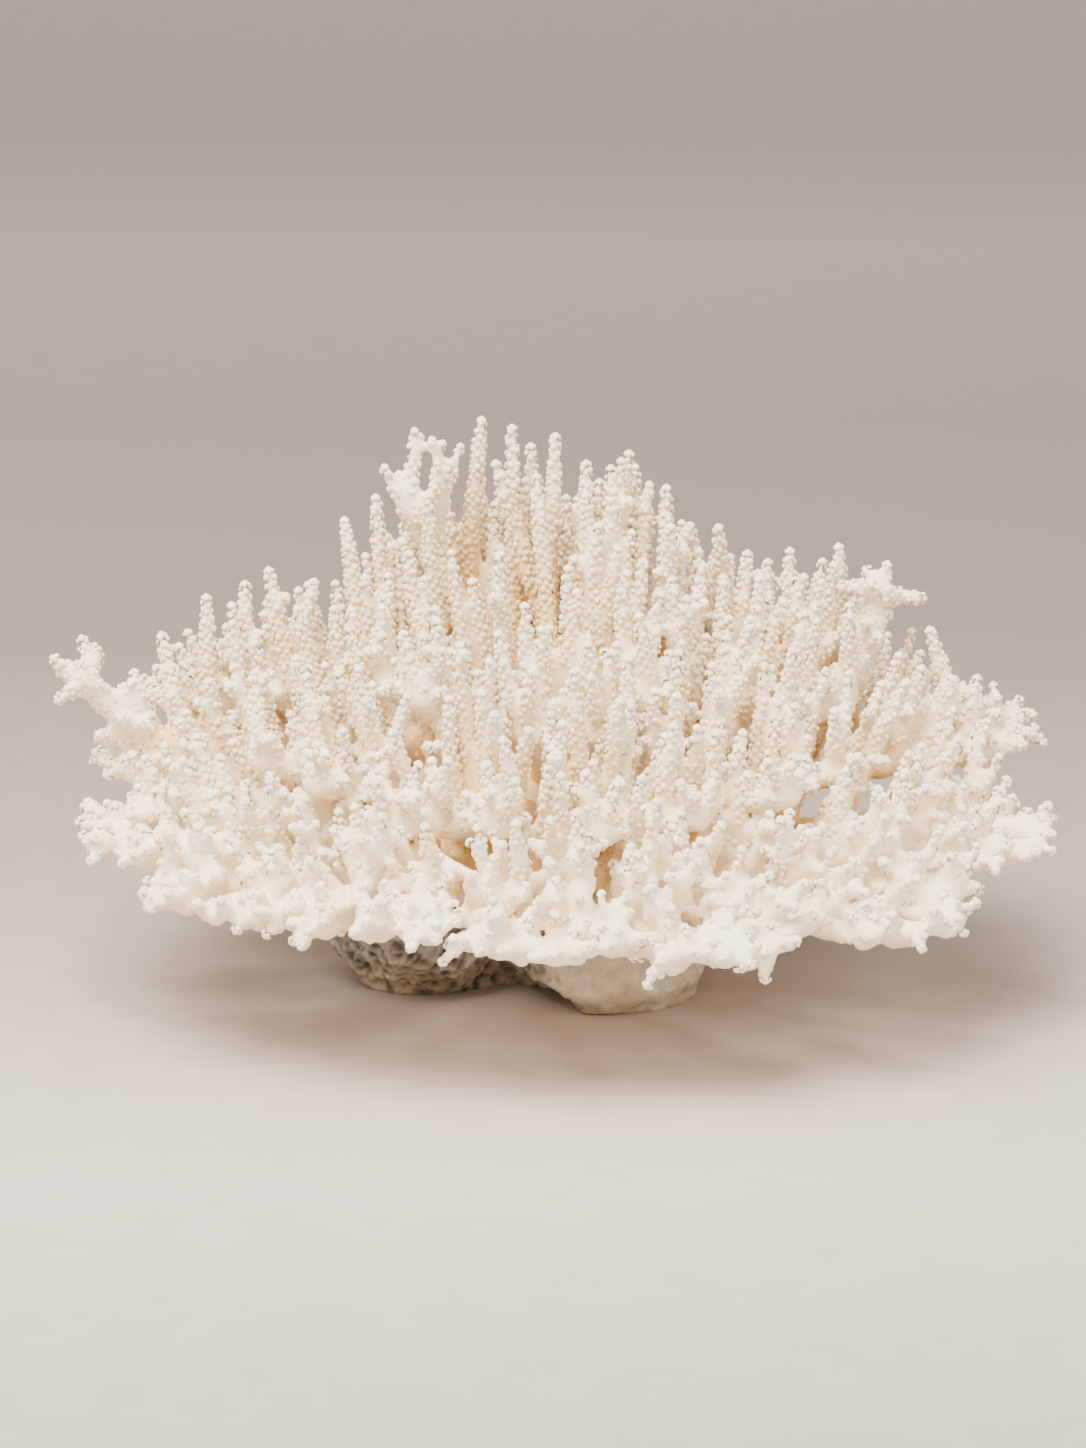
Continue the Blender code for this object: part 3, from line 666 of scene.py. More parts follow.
def lattice(cells, seed):
    """A random number from 0 to 1 for every whole-number cell."""
    mixed = cells[..., 0] * 374761393 + cells[..., 1] * 668265263
    mixed = mixed + cells[..., 2] * 1442695041 + seed * 974711
    mixed = (mixed ^ (mixed >> 13)) * 1274126177
    return ((mixed ^ (mixed >> 16)) & 0xFFFFFF) / 0xFFFFFF


def noise(points, size, seed=0):
    """Smooth value noise from -1 to 1: random numbers at the corners of a grid of that size,
    blended over each cell by 3t^2 - 2t^3 along every axis."""
    scaled = points / size
    cells = np.floor(scaled).astype(np.int64)
    share = scaled - cells
    share = share * share * (3 - 2 * share)
    total = np.zeros(len(points))
    for corner in np.ndindex(2, 2, 2):
        weight = np.prod(np.where(corner, share, 1 - share), axis=1)
        total += weight * lattice(cells + np.array(corner), seed)
    return 2 * total - 1


def pore_distance(points, size, seed=0):
    """Distance, in cells, from every point to the nearest of the pores, one of which stands
    at random in each cell of a grid of that size."""
    scaled = points / size
    cells = np.floor(scaled).astype(np.int64)
    nearest = np.full(len(points), 9.0)
    for corner in np.ndindex(3, 3, 3):
        cell = cells + np.array(corner) - 1
        pore = cell + np.stack([lattice(cell, seed + axis) for axis in range(3)], axis=-1)
        nearest = np.minimum(nearest, np.linalg.norm(scaled - pore, axis=1))
    return nearest


def new_piece(name, points, face_sets, attributes=None):
    """A smooth mesh object from points and arrays of faces of one corner count each."""
    mesh = bpy.data.meshes.new(name)
    corners = np.concatenate([faces.ravel() for faces in face_sets])
    sizes = np.concatenate([np.full(len(faces), faces.shape[1]) for faces in face_sets])
    mesh.vertices.add(len(points))
    mesh.vertices.foreach_set("co", np.ascontiguousarray(points, np.float32).ravel())
    mesh.loops.add(len(corners))
    mesh.loops.foreach_set("vertex_index", corners.astype(np.int32))
    mesh.polygons.add(len(sizes))
    mesh.polygons.foreach_set("loop_start", (np.cumsum(sizes) - sizes).astype(np.int32))
    mesh.update(calc_edges=True)
    mesh.shade_smooth()
    for key, values in (attributes or {}).items():
        layer = mesh.attributes.new(key, "FLOAT", "POINT")
        layer.data.foreach_set("value", values.astype(np.float32))
    piece = bpy.data.objects.new(name, mesh)
    bpy.context.scene.collection.objects.link(piece)
    return piece


def ring_faces(rings, corners):
    """Four-cornered faces between rings of a tube, which closes on itself round its axis."""
    i, k = np.meshgrid(np.arange(rings - 1), np.arange(corners), indexing="ij")
    n = (k + 1) % corners
    lower, upper = i * corners, (i + 1) * corners
    return np.stack([lower + k, upper + k, upper + n, lower + n], -1).reshape(-1, 4)


def end_faces(points, corners):
    """The two faces that close a loft at its first and its last ring."""
    first = np.arange(corners)
    return np.array([first[::-1], first + len(points) - corners])


def is_antler(branch):
    """True for the stem of an antler-shaped end, known by its number of stations."""
    return branch.kind == "twig" and len(branch.path) == len(ANTLERS[0][0]) + 1


def is_last_arm(branch):
    """True for an arm whose end parts into branchlets and not into further arms."""
    return branch.kind == "arm" and bool(branch.forks) and branch.forks[0].kind == "twig"


def body_width(branch):
    """How much wider than high a branch is."""
    return 1.0 if branch.bough == "crown_bough" else BODY_WIDTH[branch.kind]


def centreline(branch, step):
    """Stations about a step apart along the smooth curve of a branch, with radii and run. The
    stations' own spacing sets the radii, and a free tip narrows over its last millimetres."""
    spans = np.append(0, np.linalg.norm(np.diff(branch.path, axis=0), axis=1).cumsum())
    count = max(4, int(spans[-1] / step) + 1)
    curve = smooth_path(branch.path, 4 * count)
    travelled = np.append(0, np.linalg.norm(np.diff(curve, axis=0), axis=1).cumsum())
    even = np.linspace(0, travelled[-1], count)
    path = np.stack([np.interp(even, travelled, column) for column in curve.T], axis=-1)
    radii = np.interp(even / even[-1] * spans[-1], spans, branch.radii)
    share = CROWN_SHARE if branch.bough == "crown_bough" else BODY_SHARE[branch.kind]
    radii *= np.linspace(*share, count)
    if not branch.forks:
        radii *= POINTED_SHARE + (1 - POINTED_SHARE) * np.minimum((even[-1] - even) / POINTED_LENGTH, 1)
    run = np.gradient(path, axis=0)
    run /= np.linalg.norm(run, axis=1)[:, None]
    return path, radii, run


def section_frames(branch, run):
    """The two directions across a branch at each station, from its own reference direction."""
    x_axis = branch.across - run * (run @ branch.across)[:, None]
    x_axis /= np.linalg.norm(x_axis, axis=1)[:, None]
    return x_axis, np.cross(x_axis, run)


def tube(branch):
    """A round tube along a branch with a domed end: circles about its centreline, of its
    radius there, with three more that shrink by the rule of a half circle at the tip."""
    path, radii, run = centreline(branch, TUBE_STEP)
    radii = np.maximum(radii, LEAST_TUBE * FUSE_SIZE)
    dome = np.array([0.5, 0.86, 1.0])
    path = np.vstack([path, path[-1] + dome[:, None] * radii[-1] * run[-1]])
    radii = np.append(radii, radii[-1] * np.array([0.86, 0.5, 0.12]))
    run = np.vstack([run, run[-1:], run[-1:], run[-1:]])
    x_axis, y_axis = section_frames(branch, run)
    angle = np.linspace(0, 2 * math.pi, TUBE_CORNERS, endpoint=False)[None, :, None]
    circle = np.cos(angle) * x_axis[:, None] * body_width(branch) + np.sin(angle) * y_axis[:, None]
    points = (path[:, None] + radii[:, None, None] * circle).reshape(-1, 3)
    return points, ring_faces(len(path), TUBE_CORNERS), end_faces(points, TUBE_CORNERS)


def fused_body(branches):
    """Points, faces and normals of the tubes of a bough, melted into one skin on a fine grid."""
    points, sides, caps, first = [], [], [], 0
    for branch in branches:
        tube_points, tube_sides, tube_caps = tube(branch)
        points.append(tube_points)
        sides.append(tube_sides + first)
        caps.append(tube_caps + first)
        first += len(tube_points)
    return melted(np.vstack(points), [np.vstack(sides), np.vstack(caps)], FUSE_SIZE)


def melted(points, face_sets, grain):
    """Points, faces and normals of overlapping closed skins made into one on a grid of that
    grain, then softened."""
    rough = new_piece("rough", points, face_sets)
    remesh = rough.modifiers.new("Fuse", "REMESH")
    remesh.mode = "VOXEL"
    remesh.voxel_size = grain
    smooth = rough.modifiers.new("Soften", "SMOOTH")
    smooth.factor = 0.5
    smooth.iterations = 2
    skin = rough.evaluated_get(bpy.context.evaluated_depsgraph_get()).to_mesh()
    body = np.empty(len(skin.vertices) * 3, np.float32)
    normals = np.empty_like(body)
    faces = np.empty(len(skin.loops), np.int32)
    skin.vertices.foreach_get("co", body)
    skin.vertex_normals.foreach_get("vector", normals)
    skin.loops.foreach_get("vertex_index", faces)
    bpy.data.objects.remove(rough)
    return body.reshape(-1, 3).astype(float), faces.reshape(-1, 4), normals.reshape(-1, 3).astype(float)


def skeleton_samples(branches):
    """Points along the branches with the radius there, the age of the skeleton there and the branch's
    number. The age is the distance from the tip over the white length, up to one; it sets the colour, so it
    also paints shade, tan deep in the colony."""
    places, thick, ages_and_shade, owner = [], [], [], []
    for number, branch in enumerate(branches):
        path, radii, run = centreline(branch, 2.5 * MM)
        back = np.linalg.norm(np.diff(path, axis=0), axis=1)[::-1].cumsum()[::-1]
        to_tip = np.append(back, 0)
        if branch.kind == "arm" and branch.forks:
            to_tip = to_tip + (END_FINGER if is_last_arm(branch) else math.inf)
        places.append(path)
        thick.append(radii)
        ages_and_shade.append(np.minimum(to_tip / WHITE_LENGTH, 1))
        owner.append(np.full(len(path), number))
    return np.vstack(places), np.concatenate(thick), np.concatenate(ages_and_shade), np.concatenate(owner)


def nearest_sample(points, places):
    """The number of the place nearest to every point."""
    nearest = np.empty(len(points), int)
    for part in np.array_split(np.arange(len(points)), max(1, len(points) // 4000)):
        gaps = ((points[part, None] - places[None]) ** 2).sum(-1)
        nearest[part] = gaps.argmin(1)
    return nearest


def cups(branch, random):
    """Coral cups of a branch: the corners of each and their ages, which carry painted shade. They stand on a
    golden-angle spiral that climbs by the pitch squared over the girth, shaken a little, and lean towards
    the tip. Each is a blunt cone from a square foot to a smaller square turned half a corner."""
    path, radii, run = centreline(branch, 0.6 * MM)
    x_axis, y_axis = section_frames(branch, run)
    travelled = np.append(0, np.linalg.norm(np.diff(path, axis=0), axis=1).cumsum())
    length = travelled[-1]
    width = body_width(branch)
    girth = 2 * math.pi * radii * (1 + width) / 2
    counted = np.append(0, (girth[1:] / CUP_PITCH**2 * np.diff(travelled)).cumsum())
    serial = np.arange(int(counted[-1])) + 0.5
    place = np.interp(serial + random.normal(0, CUP_SHIFT, len(serial)), counted, travelled)
    covered = branch.bough == "crown_bough" or is_antler(branch)
    bare = 0 if covered else CUPLESS[branch.kind] * max(length - CUP_END, 0)
    most = CUP_SHARE["twig" if covered else branch.kind]
    wanted = np.clip(CUP_ONSET[0] + (place - bare) / CUP_ONSET[1], 0, most)
    height = np.interp(place, travelled, path[:, 2])
    wanted = wanted * np.interp(height, FORM_HEIGHTS, CUP_COUNTS)
    kept = random.random(len(place)) < wanted
    serial, place = serial[kept], place[kept]
    angle = serial * GOLDEN_ANGLE + random.normal(0, CUP_TURN, len(place))
    lean = random.normal(*CUP_LEAN, len(place))
    size = random.uniform(*CUP_SPREAD, len(place)) * np.interp(height[kept], FORM_HEIGHTS, CUP_SIZES)
    over = np.zeros(len(place))
    if not branch.forks:
        dome = TIP_ANGLES * math.pi / 180
        place = np.append(place, np.full(len(dome), length))
        angle = np.append(angle, np.arange(len(dome)) * math.pi / 2)
        over = np.append(over, dome)
        lean = np.append(lean, dome)
        size = np.append(size, TIP_SIZES)

    def at(values):
        return np.stack([np.interp(place, travelled, column) for column in values.T], axis=-1)

    forward, across, up = at(run), at(x_axis), at(y_axis)
    radial = np.cos(angle)[:, None] * width * across + np.sin(angle)[:, None] * up
    onto = np.cos(over)[:, None] * radial + np.sin(over)[:, None] * forward
    root = at(path) + onto * np.interp(place, travelled, radii)[:, None] * CUP_ROOT
    radial /= np.linalg.norm(radial, axis=1)[:, None]
    axis = radial * np.cos(lean)[:, None] + forward * np.sin(lean)[:, None]
    side = np.cross(axis, forward + 0.01 * up)
    side /= np.linalg.norm(side, axis=1)[:, None]
    other = np.cross(axis, side)
    turn = random.uniform(0, math.pi, len(place))[:, None] + np.arange(8) * math.pi / 4
    ring = np.cos(turn)[..., None] * side[:, None] + np.sin(turn)[..., None] * other[:, None]
    ring *= (size * CUP_RADIUS)[:, None, None]
    rise = np.interp(root[:, 2], FORM_HEIGHTS, CUP_RISES)
    lift = axis[:, None] * (size * rise * CUP_HEIGHT)[:, None, None]
    foot = root[:, None] - CUP_DEPTH * lift + ring[:, 0::2]
    mouth = root[:, None] + CUP_TOP * lift + ring[:, 1::2] * CUP_MOUTH
    points = np.concatenate([foot, mouth], axis=1)
    # Age of each cup with painted shade: more on forking arms, darker at the cup's foot, lighter at its
    # mouth.
    age_and_shade = np.clip((length - place) / WHITE_LENGTH + (FORKED_AGE_AND_SHADE if branch.forks else 0), 0, 1)
    return points, age_and_shade[:, None] + np.repeat(CUP_PAINTED_SHADES, 4)


def cup_faces(count):
    """Triangles of that many cups: eight round each one's side and two over its mouth."""
    k, n = np.arange(4), (np.arange(4) + 1) % 4
    lower, upper = np.stack([k, n, k + 4], -1), np.stack([n, n + 4, k + 4], -1)
    cup = np.concatenate([lower, upper, [[4, 5, 6], [4, 6, 7]]])
    return ((np.arange(count) * 8)[:, None, None] + cup).reshape(-1, 3)


def grow_infill(colony, random):
    """Thin branchlets that only the looks have, between those of the solids. They rise from the
    arms to some way under the canopy, wherever no other tip is near."""
    tips = list(colony.tips)
    thin = []
    for arm in [branch for branch in colony.branches if branch.kind == "arm"]:
        if arm.bough == "crown_bough":
            continue
        for attempt in range(INFILL_TRIES):
            root = along(arm.path, random.uniform(0, len(arm.path) - 1))
            reach = np.linalg.norm(root[:2])
            if inside_trunk(root[None])[0]:
                continue
            out = root[:2] / reach
            rise = max(canopy(*root[:2]) - root[2], 0)
            plan = root[:2] + arm.across[:2] * random.uniform(*INFILL_BESIDE) * MM
            plan += out * (random.uniform(*INFILL_OUT) * MM + INFILL_LEAN * rise * reach / OUTLINE_HALF[1])
            drop = random.uniform(*INFILL_DROP) * MM
            tip = np.array([*plan, max(canopy(*plan) - drop, root[2] + random.uniform(*INFILL_RISE) * MM)])
            if np.linalg.norm(np.array(tips) - tip, axis=1).min() < INFILL_SPACING:
                continue
            bow = np.array([*(out * random.uniform(*INFILL_BOW) * MM), 0])
            path = np.array([root, (root + tip) / 2 + bow, tip])
            radii = INFILL_RADII * random.uniform(*INFILL_SCATTER)
            thin.append(Branch(arm.bough, "twig", path, radii, arm.run(0)))
            tips.append(tip)
    return thin


def finger_bearer(branch):
    """What a branch counts as when short fingers grow on it, or None if it bears none."""
    if branch.kind == "arm" and not is_last_arm(branch):
        return None
    if is_antler(branch):
        return "antler"
    if branch.bough == "crown_bough":
        return "crown_arm" if branch.kind == "arm" else "crown_branchlet"
    return "last_arm" if branch.kind == "arm" else "branchlet"


def grow_fingers(branches, random):
    """Short fingers that only the looks have: on branchlets, on the crown and the antlers and,
    most of all, round the last arms of the boughs, where they stand out sideways and upwards."""
    fingers = []
    for branch in branches:
        bearer = finger_bearer(branch)
        if bearer is None:
            continue
        count, longest, upright, thickest = FINGERS[bearer]
        if count is None:
            least = 1 if branch.path[0, 2] < LOW_BRANCHLET else 0
            count = random.integers(least, least + 2)
        path, radii, run = centreline(branch, 1 * MM)
        from_arm = branch.kind == "arm"
        width = body_width(branch)
        for place in random.uniform(*FINGER_PLACES, count):
            station = int(place * (len(path) - 1))
            x_axis, y_axis = (axes[0] for axes in section_frames(branch, run[station : station + 1]))
            below = FINGER_BELOW if from_arm else 0
            angle = random.uniform(-below, (math.pi if from_arm else 2 * math.pi) + below)
            outward = math.cos(angle) * x_axis * width + math.sin(angle) * y_axis
            way = outward + run[station] * random.uniform(*FINGER_FORWARD) + np.array([0, 0, upright])
            way /= np.linalg.norm(way)
            reach = radii[station] * (width if from_arm else 1) + random.uniform(FINGER_REACH, longest) * MM
            tip = path[station] + way * reach
            radius = random.uniform(*FINGER_RADII) * MM
            if thickest is not None:
                radius = min(thickest, radii[station] * FINGER_OVER)
            shape = np.array([path[station], (path[station] + tip) / 2, tip])
            fingers.append(Branch(branch.bough, "twig", shape, FINGER_TAPER * radius, run[station] + 0.01))
    return fingers


def build_bough(bough, branches, random):
    """The skin of a bough: its fused body, roughened, with the coral cups on it. Cups that
    another of its branches covers are left out."""
    branches = branches + grow_fingers(branches, random)
    body, faces, normals = fused_body(branches)
    small = np.interp(body[:, 2], FORM_HEIGHTS, SMALL_LUMPS[0])
    rough = BROAD_LUMPS[0] * noise(body, BROAD_LUMPS[1])
    rough += small * (noise(body, SMALL_LUMPS[1], 1) + LUMP_LIFT)
    places, radii, ages_and_shade, owner = skeleton_samples(branches)
    # Age of the skin from its nearest branch; its colour runs from white to tan, partly painted shade deeper
    # in the colony.
    age_and_shade = ages_and_shade[nearest_sample(body, places)]
    body += normals * rough[:, None]
    open_cups, open_ages_and_shade = [], []
    for number, branch in enumerate(branches):
        corners, cup_age_and_shade = cups(branch, random)
        others = owner != number
        gap = np.linalg.norm(corners[:, :4].mean(1)[:, None] - places[others][None], axis=2)
        free = (gap - CUP_COVER * radii[others]).min(1) > 0
        open_cups.append(corners[free])
        open_ages_and_shade.append(cup_age_and_shade[free])
    open_cups = np.concatenate(open_cups)
    return new_piece(
        bough + "_skeleton",
        np.vstack([body, open_cups.reshape(-1, 3)]),
        [faces, cup_faces(len(open_cups)) + len(body)],
        {"age_and_shade": np.append(age_and_shade, np.concatenate(open_ages_and_shade))},
    )


def loft_points(middle, radius, angle, height):
    """Points in metres of a loft about an upright line, from its grids in millimetres."""
    x, y = middle[0] + radius * np.cos(angle), middle[1] + radius * np.sin(angle)
    return np.stack([x, y, height], -1).reshape(-1, 3) * MM


def build_trunk():
    """The trunk: the rings of its solid made smooth, with lumps along the way out from its
    middle. Both ends are closed by rings of almost no radius."""
    bottom, top = TRUNK_RINGS[0][0], TRUNK_RINGS[-1][0]
    heights = np.concatenate([[bottom], np.linspace(bottom, top, TRUNK_LEVELS), [top]])
    angle = np.linspace(0, 2 * math.pi, TRUNK_SIDES, endpoint=False)
    grid_height, grid_angle = np.meshgrid(heights, angle, indexing="ij")
    radius = np.interp(grid_height, *zip(*TRUNK_RINGS))
    radius += 1.1 * np.sin(5 * grid_angle + 0.09 * grid_height)
    radius += 0.7 * np.sin(3 * grid_angle - 0.1 * grid_height)
    radius[[0, -1]] *= POLE
    points = loft_points(TRUNK_MIDDLE / MM, radius, grid_angle, grid_height)
    outward = points - np.array([*TRUNK_MIDDLE, TRUNK_HEART])
    outward /= np.linalg.norm(outward, axis=1)[:, None]
    points += outward * sum(height * noise(points, size) for height, size in TRUNK_LUMPS)[:, None]
    faces = [ring_faces(len(heights), TRUNK_SIDES), end_faces(points, TRUNK_SIDES)]
    # The trunk's skin gets a fixed mid age, a cream that partly paints the shade inside the colony.
    return new_piece("trunk_skin", points, faces, {"age_and_shade": np.full(len(points), 0.5)})


def foot_reach(height, angle):
    """How far the foot reaches at an angle: the farthest side of its lobes there."""
    reach = np.zeros_like(angle)
    heights = [ring[0] for ring in FOOT_RINGS]
    for lobe, (x, y) in enumerate(FOOT_LOBES):
        radius = np.interp(height, heights, [ring[1][lobe] for ring in FOOT_RINGS])
        forward = x * np.cos(angle) + y * np.sin(angle)
        inside = radius**2 - (x**2 + y**2 - forward**2)
        reach = np.maximum(reach, np.where(inside > 0, forward + np.sqrt(np.maximum(inside, 0)), 0))
    return reach


def build_foot():
    """The reef foot: the lobes of its solid with the arch under its front, melted on a fine
    grid, then lumps and a web of pits along the surface's normals, deepest on the left lobe."""
    top = FOOT_RINGS[-1][0]
    shares = np.concatenate([np.linspace(0, 1, UNDERSIDE_RINGS), np.ones(FOOT_LEVELS), [0.5, 0]])
    heights = np.concatenate([np.zeros(UNDERSIDE_RINGS), np.linspace(1, top, FOOT_LEVELS), [top, top]])
    angle = np.linspace(0, 2 * math.pi, FOOT_SIDES, endpoint=False)
    grid_height, grid_angle = np.meshgrid(heights, angle, indexing="ij")
    reach = foot_reach(grid_height, grid_angle) * np.maximum(shares, POLE)[:, None]
    points = loft_points((0, 0), reach, grid_angle, grid_height)
    across = ((points[:, :2] / MM - ARCH_MIDDLE[:2]) / ARCH_HALF[:2]) ** 2
    arch = np.sqrt(np.maximum(1 - across.sum(1), 0)) * ARCH_HALF[2] * MM
    points[:, 2] = np.maximum(points[:, 2], arch)
    loft = [ring_faces(len(heights), FOOT_SIDES), end_faces(points, FOOT_SIDES)]
    skin, faces, normals = melted(points, loft, ROCK_GRAIN)
    swirl = np.stack([noise(skin, SWIRL_SIZE, axis) for axis in range(3)], axis=-1) * SWIRL
    pore = pore_distance(skin + swirl, PIT_SIZE)
    fine = pore_distance(skin + 0.5 * swirl, SMALL_PIT_SIZE, 4)
    porous = np.clip(0.7 - skin[:, 0] / (30 * MM) + 0.6 * noise(skin, 14 * MM, 7), 0.12, 1)
    pit = np.clip(PIT_EDGE - pore / PIT_SLOPE, 0, 1) * porous
    small_pit = np.clip(SMALL_PIT_EDGE - fine / SMALL_PIT_SLOPE, 0, 1) * (0.3 + 0.7 * porous)
    lumps = sum(height * noise(skin, size, seed) for height, size, seed in FOOT_LUMPS)
    relief = lumps - PIT_DEPTH * pit - SMALL_PIT_DEPTH * small_pit
    resting = np.clip(skin[:, 2] / RESTING_HEIGHT, 0, 1)
    skin += normals * (relief * resting * MM)[:, None]
    skin[:, 2] = np.where(resting < 0.35, 0, np.maximum(skin[:, 2], 0))
    # The pit mask is kept for the rock's painted shade in the pits.
    return new_piece("foot_rock", skin, [faces], {"pit": np.maximum(pit, small_pit * 0.7), "porous": porous})


def srgb(code):
    """A linear colour from an sRGB hex code."""
    values = np.array([int(code[i : i + 2], 16) for i in (1, 3, 5)]) / 255
    linear = np.where(values <= 0.04045, values / 12.92, ((values + 0.055) / 1.055) ** 2.4)
    return (*linear.tolist(), 1)


def add_node(tree, kind, settings=None, **links):
    """Adds a node, sets its properties, and links or sets its inputs by name."""
    node = tree.nodes.new("ShaderNode" + kind)
    for key, value in (settings or {}).items():
        setattr(node, key, value)
    for key, value in links.items():
        socket = node.inputs[int(key[1:])] if key[1:].isdigit() else node.inputs[key.replace("_", " ")]
        if isinstance(value, bpy.types.NodeSocket):
            tree.links.new(value, socket)
        else:
            socket.default_value = value
    return node


def ramp(tree, factor, *stops):
    """A colour ramp through (position, hex code) stops."""
    node = add_node(tree, "ValToRGB", i0=factor)
    elements = node.color_ramp.elements
    while len(elements) < len(stops):
        elements.new(0.5)
    for element, (position, code) in zip(elements, stops):
        element.position = position
        element.color = srgb(code)
    return node.outputs["Color"]


def spread(tree, value, low, high, to_low=0.0, to_high=1.0):
    """A value moved from one range to another, and held at that one's ends."""
    return add_node(tree, "MapRange", i0=value, i1=low, i2=high, i3=to_low, i4=to_high).outputs[0]


def blend(tree, share, first, second):
    """The first colour going over to the second by a share."""
    return add_node(tree, "Mix", {"data_type": "RGBA"}, i0=share, i6=first, i7=second).outputs[2]


def worked_out(tree, operation, first, second):
    """Two values put together by an operation of arithmetic."""
    return add_node(tree, "Math", {"operation": operation}, i0=first, i1=second).outputs[0]


def clouds(tree, place, scale, detail, roughness=0.5):
    """Soft noise from 0 to 1 over the piece's own coordinates."""
    noise_node = add_node(tree, "TexNoise", Vector=place, Scale=scale, Detail=detail, Roughness=roughness)
    return noise_node.outputs["Fac"]


def attribute(tree, name):
    """A value that the piece's mesh carries."""
    return add_node(tree, "Attribute", {"attribute_name": name}).outputs["Fac"]


def new_material(name):
    """A material with its node tree and its shader."""
    made = bpy.data.materials.new(name)
    made.use_nodes = True
    return made, made.node_tree, made.node_tree.nodes["Principled BSDF"]


def coral_material():
    """Bleached aragonite: white young tips, cream then warm tan towards the old parts deep in the colony, a
    tan that is partly the skeleton's own colour and partly painted shade of the recesses, with tiny brown
    pores where the cups have worn off."""
    made, tree, shader = new_material("aragonite_bleached_matt")
    age_and_shade = attribute(tree, "age_and_shade")
    place = add_node(tree, "TexCoord").outputs["Object"]
    cloud = clouds(tree, place, 45, 3, 0.6)
    drift = spread(tree, cloud, 0.3, 0.7, -0.12, 0.16)
    shade = worked_out(tree, "ADD", age_and_shade, drift)
    # Colour by age and painted shade: white at the tips, cream to tan deeper in the colony, where the tan
    # also stands in for shade.
    colour = ramp(
        tree, shade, (0.0, "#fdf1dc"), (0.3, "#fbe9ca"), (0.6, "#f7dfb6"), (0.85, "#f0d4a2"),
        (1.0, "#e7c78f"),
    )
    pores = add_node(tree, "TexVoronoi", Vector=place, Scale=420).outputs["Distance"]
    dots = spread(tree, pores, 0.16, 0.3, 1.0, 0.0)
    worn = spread(tree, age_and_shade, 0.35, 0.75, 0.0, 0.55)
    dot_share = worked_out(tree, "MULTIPLY", dots, worn)
    mixed = blend(tree, dot_share, colour, srgb("#a9764a"))
    grain = clouds(tree, place, 1400, 2)
    relief = worked_out(tree, "SUBTRACT", grain, dot_share)
    bump = add_node(tree, "Bump", Strength=0.35, Distance=0.0004, Height=relief).outputs[0]
    tree.links.new(mixed, shader.inputs["Base Color"])
    tree.links.new(bump, shader.inputs["Normal"])
    shader.inputs["Roughness"].default_value = 0.78
    shader.inputs["IOR"].default_value = 1.53
    shader.inputs["Specular IOR Level"].default_value = 0.35
    shader.inputs["Subsurface Weight"].default_value = 0.12
    shader.inputs["Subsurface Radius"].default_value = (0.0018, 0.0011, 0.0006)
    shader.inputs["Subsurface Scale"].default_value = 1.0
    return made


def rock_material():
    """Old reef limestone: grey in the porous part, cream-beige where it is denser, tan at its lower edge,
    and painted shade darkening the pits."""
    made, tree, shader = new_material("reef_limestone_weathered")
    place = add_node(tree, "TexCoord").outputs["Object"]
    pit = attribute(tree, "pit")
    porous = attribute(tree, "porous")
    patches = clouds(tree, place, 90, 4, 0.65)
    blotches = clouds(tree, place, 30, 3)
    dense = ramp(tree, patches, (0.3, "#b3a48d"), (0.5, "#cbbda6"), (0.7, "#e3d8c6"))
    grey = ramp(tree, patches, (0.3, "#77736c"), (0.5, "#98938a"), (0.72, "#bdb3a2"))
    share = spread(tree, porous, 0.35, 0.8)
    body = blend(tree, share, dense, grey)
    height = add_node(tree, "SeparateXYZ", Vector=place).outputs["Z"]
    wavy = spread(tree, blotches, 0.3, 0.7, -0.005, 0.005)
    low = worked_out(tree, "ADD", height, wavy)
    edge = spread(tree, low, 0.004, 0.014, 0.65, 0.0)
    tan = ramp(tree, patches, (0.3, "#937a59"), (0.7, "#c0a983"))
    stained = blend(tree, edge, body, tan)
    # Painted shade: the pits are darkened to a deep brown.
    painted_pit_shade = spread(tree, pit, 0.1, 0.8, 0.0, 0.9)
    colour = blend(tree, painted_pit_shade, stained, srgb("#4b4136"))
    grain = clouds(tree, place, 900, 3)
    bump = add_node(tree, "Bump", Strength=0.6, Distance=0.0006, Height=grain).outputs[0]
    tree.links.new(colour, shader.inputs["Base Color"])
    tree.links.new(bump, shader.inputs["Normal"])
    shader.inputs["Roughness"].default_value = 0.9
    shader.inputs["IOR"].default_value = 1.53
    shader.inputs["Specular IOR Level"].default_value = 0.3
    return made


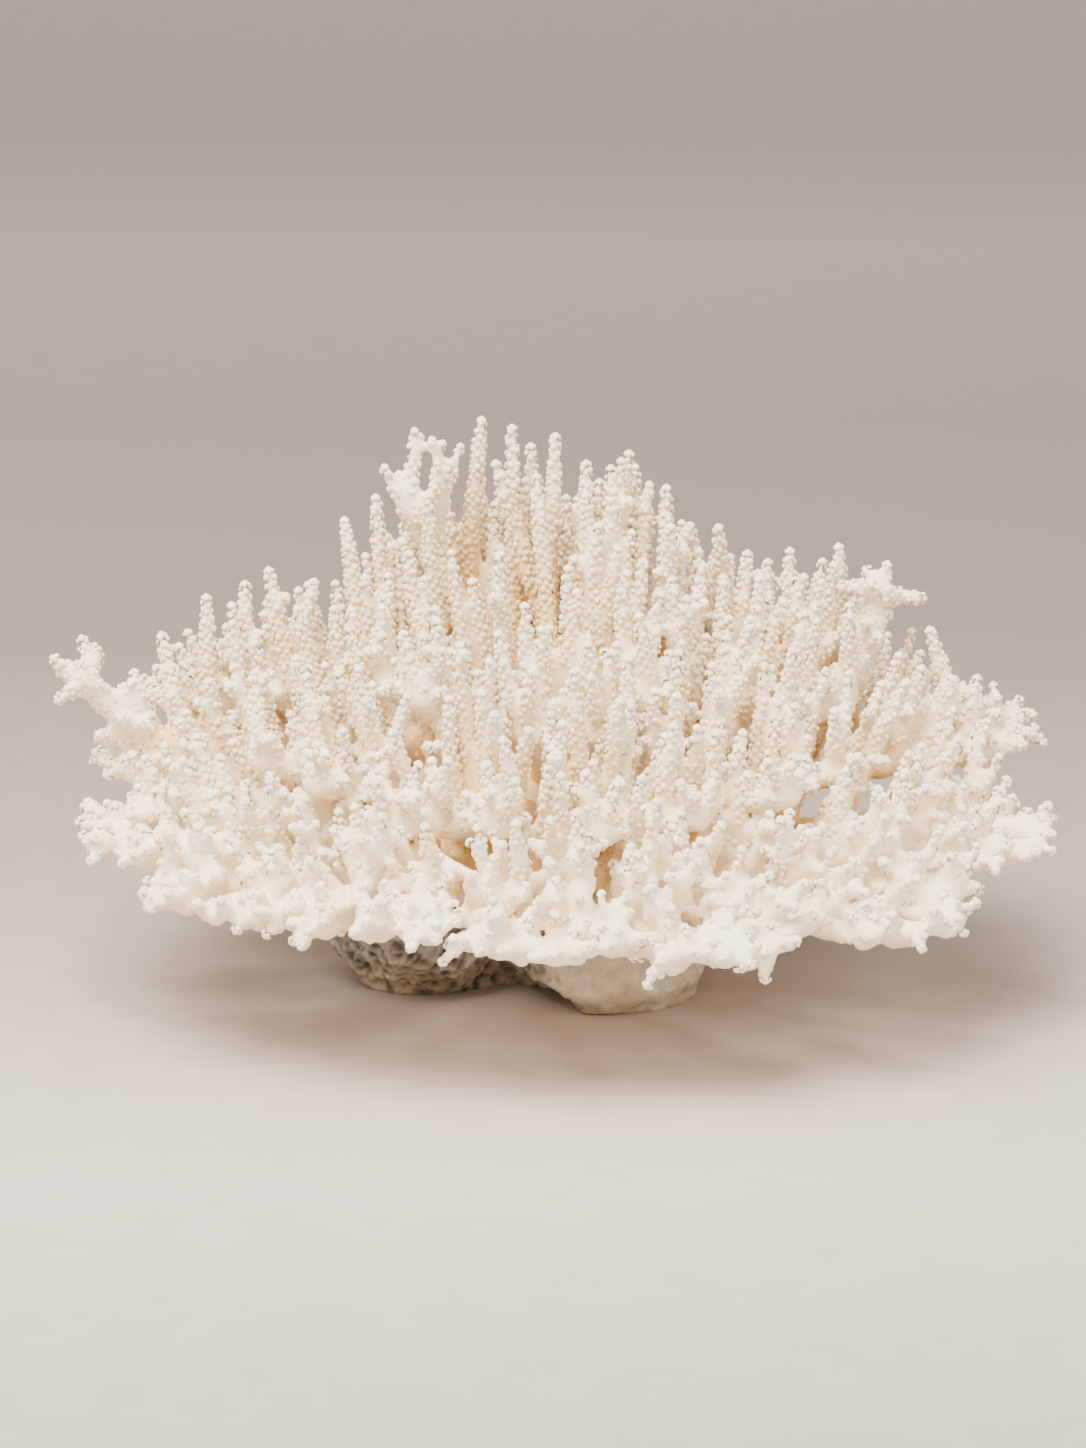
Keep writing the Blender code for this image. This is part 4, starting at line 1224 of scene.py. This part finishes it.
def build_studio():
    """A floor that runs up into a taupe backdrop, its paper painted lighter and darker from front to back:
    pale in front, a painted shadow under the colony, darkest behind it as painted falloff of the light, then
    a little lighter again towards the backdrop. A large soft light above, a weaker one from the right front,
    and an even warm sky."""
    back = np.linspace(0, math.pi / 2, 24)
    curve = np.stack([FLOOR_BACK + BEND * np.sin(back), BEND - BEND * np.cos(back)], -1)
    line = np.vstack([[[FLOOR_FRONT, 0]], curve, [[FLOOR_BACK + BEND, BACKDROP_TOP]]])
    points = np.array([[x, y, z] for x in (-FLOOR_HALF_WIDTH, FLOOR_HALF_WIDTH) for y, z in line])
    count = len(line)
    k = np.arange(count - 1)
    faces = np.stack([k, k + count, k + count + 1, k + 1], -1)
    floor = new_piece("studio_floor", points, [faces])
    made, tree, shader = new_material("studio_paper_painted_light")
    place = add_node(tree, "TexCoord").outputs["Object"]
    depth = add_node(tree, "SeparateXYZ", Vector=place).outputs["Y"]
    share = spread(tree, depth, -0.4, 1.6)
    paper = clouds(tree, place, 60, 3)
    mottled = spread(tree, paper, 0.0, 1.0, -0.03, 0.03)
    total = worked_out(tree, "ADD", share, mottled)
    # Painted light and shade on the paper: a pale band in front, a painted shadow under the colony, darker
    # still behind it, a little lighter again towards the backdrop.
    colour = ramp(
        tree, total, (0.0, "#a99e96"), (0.1, "#c3b7af"), (0.2, "#a79c94"), (0.3, "#90867e"),
        (0.45, "#7c726b"), (0.7, "#837971"), (1.0, "#9b8f87"),
    )
    tree.links.new(colour, shader.inputs["Base Color"])
    shader.inputs["Roughness"].default_value = 0.95
    floor.data.materials.append(made)
    for name, place, size, power, colour in (
        ("key_softbox", (-0.5, -0.6, 1.7), 1.6, 126, "#fff5e8"),
        ("fill_softbox", (1.4, -1.3, 0.9), 1.2, 11, "#fff5e8"),
    ):
        lamp = bpy.data.lights.new(name, "AREA")
        lamp.shape = "DISK"
        lamp.size = size
        lamp.energy = power
        lamp.color = srgb(colour)[:3]
        lamp_object = bpy.data.objects.new(name, lamp)
        lamp_object.location = place
        aim = np.array([0, 0, 0.08]) - np.array(place)
        lamp_object.rotation_euler = mathutils.Vector(aim).to_track_quat("-Z", "Y").to_euler()
        bpy.context.scene.collection.objects.link(lamp_object)
    world = bpy.data.worlds.new("studio_sky")
    world.use_nodes = True
    world.node_tree.nodes["Background"].inputs["Color"].default_value = srgb("#fffaf4")
    world.node_tree.nodes["Background"].inputs["Strength"].default_value = 1.4
    bpy.context.scene.world = world


def place_camera():
    """The photo's view: level in roll, from a little above the front, with a long lens."""
    camera = bpy.data.cameras.new("view")
    camera.lens = VIEW_LENS
    camera.sensor_width = 36
    camera.clip_end = 50
    holder = bpy.data.objects.new("view", camera)
    tilt = math.radians(VIEW_ELEVATION)
    holder.location = (0, -VIEW_DISTANCE * math.cos(tilt), VIEW_HEIGHT + VIEW_DISTANCE * math.sin(tilt))
    holder.rotation_euler = (math.pi / 2 - tilt, 0, 0)
    bpy.context.scene.collection.objects.link(holder)
    bpy.context.scene.camera = holder


def show(piece, node, finish):
    """Gives a piece its finish, fixes it to the root body, and hides the node that it stands for."""
    piece.data.materials.append(finish)
    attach(piece, "root")
    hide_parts(node)


random = np.random.default_rng(LOOKS_SEED)
coral, rock = coral_material(), rock_material()
colony = grow_colony()
branches = colony.branches + grow_infill(colony, random)
for bough in colony.boughs:
    grown = [branch for branch in branches if branch.bough == bough]
    show(build_bough(bough, grown, random), bough, coral)
show(build_trunk(), "trunk", coral)
show(build_foot(), "reef_foot", rock)
build_studio()
place_camera()
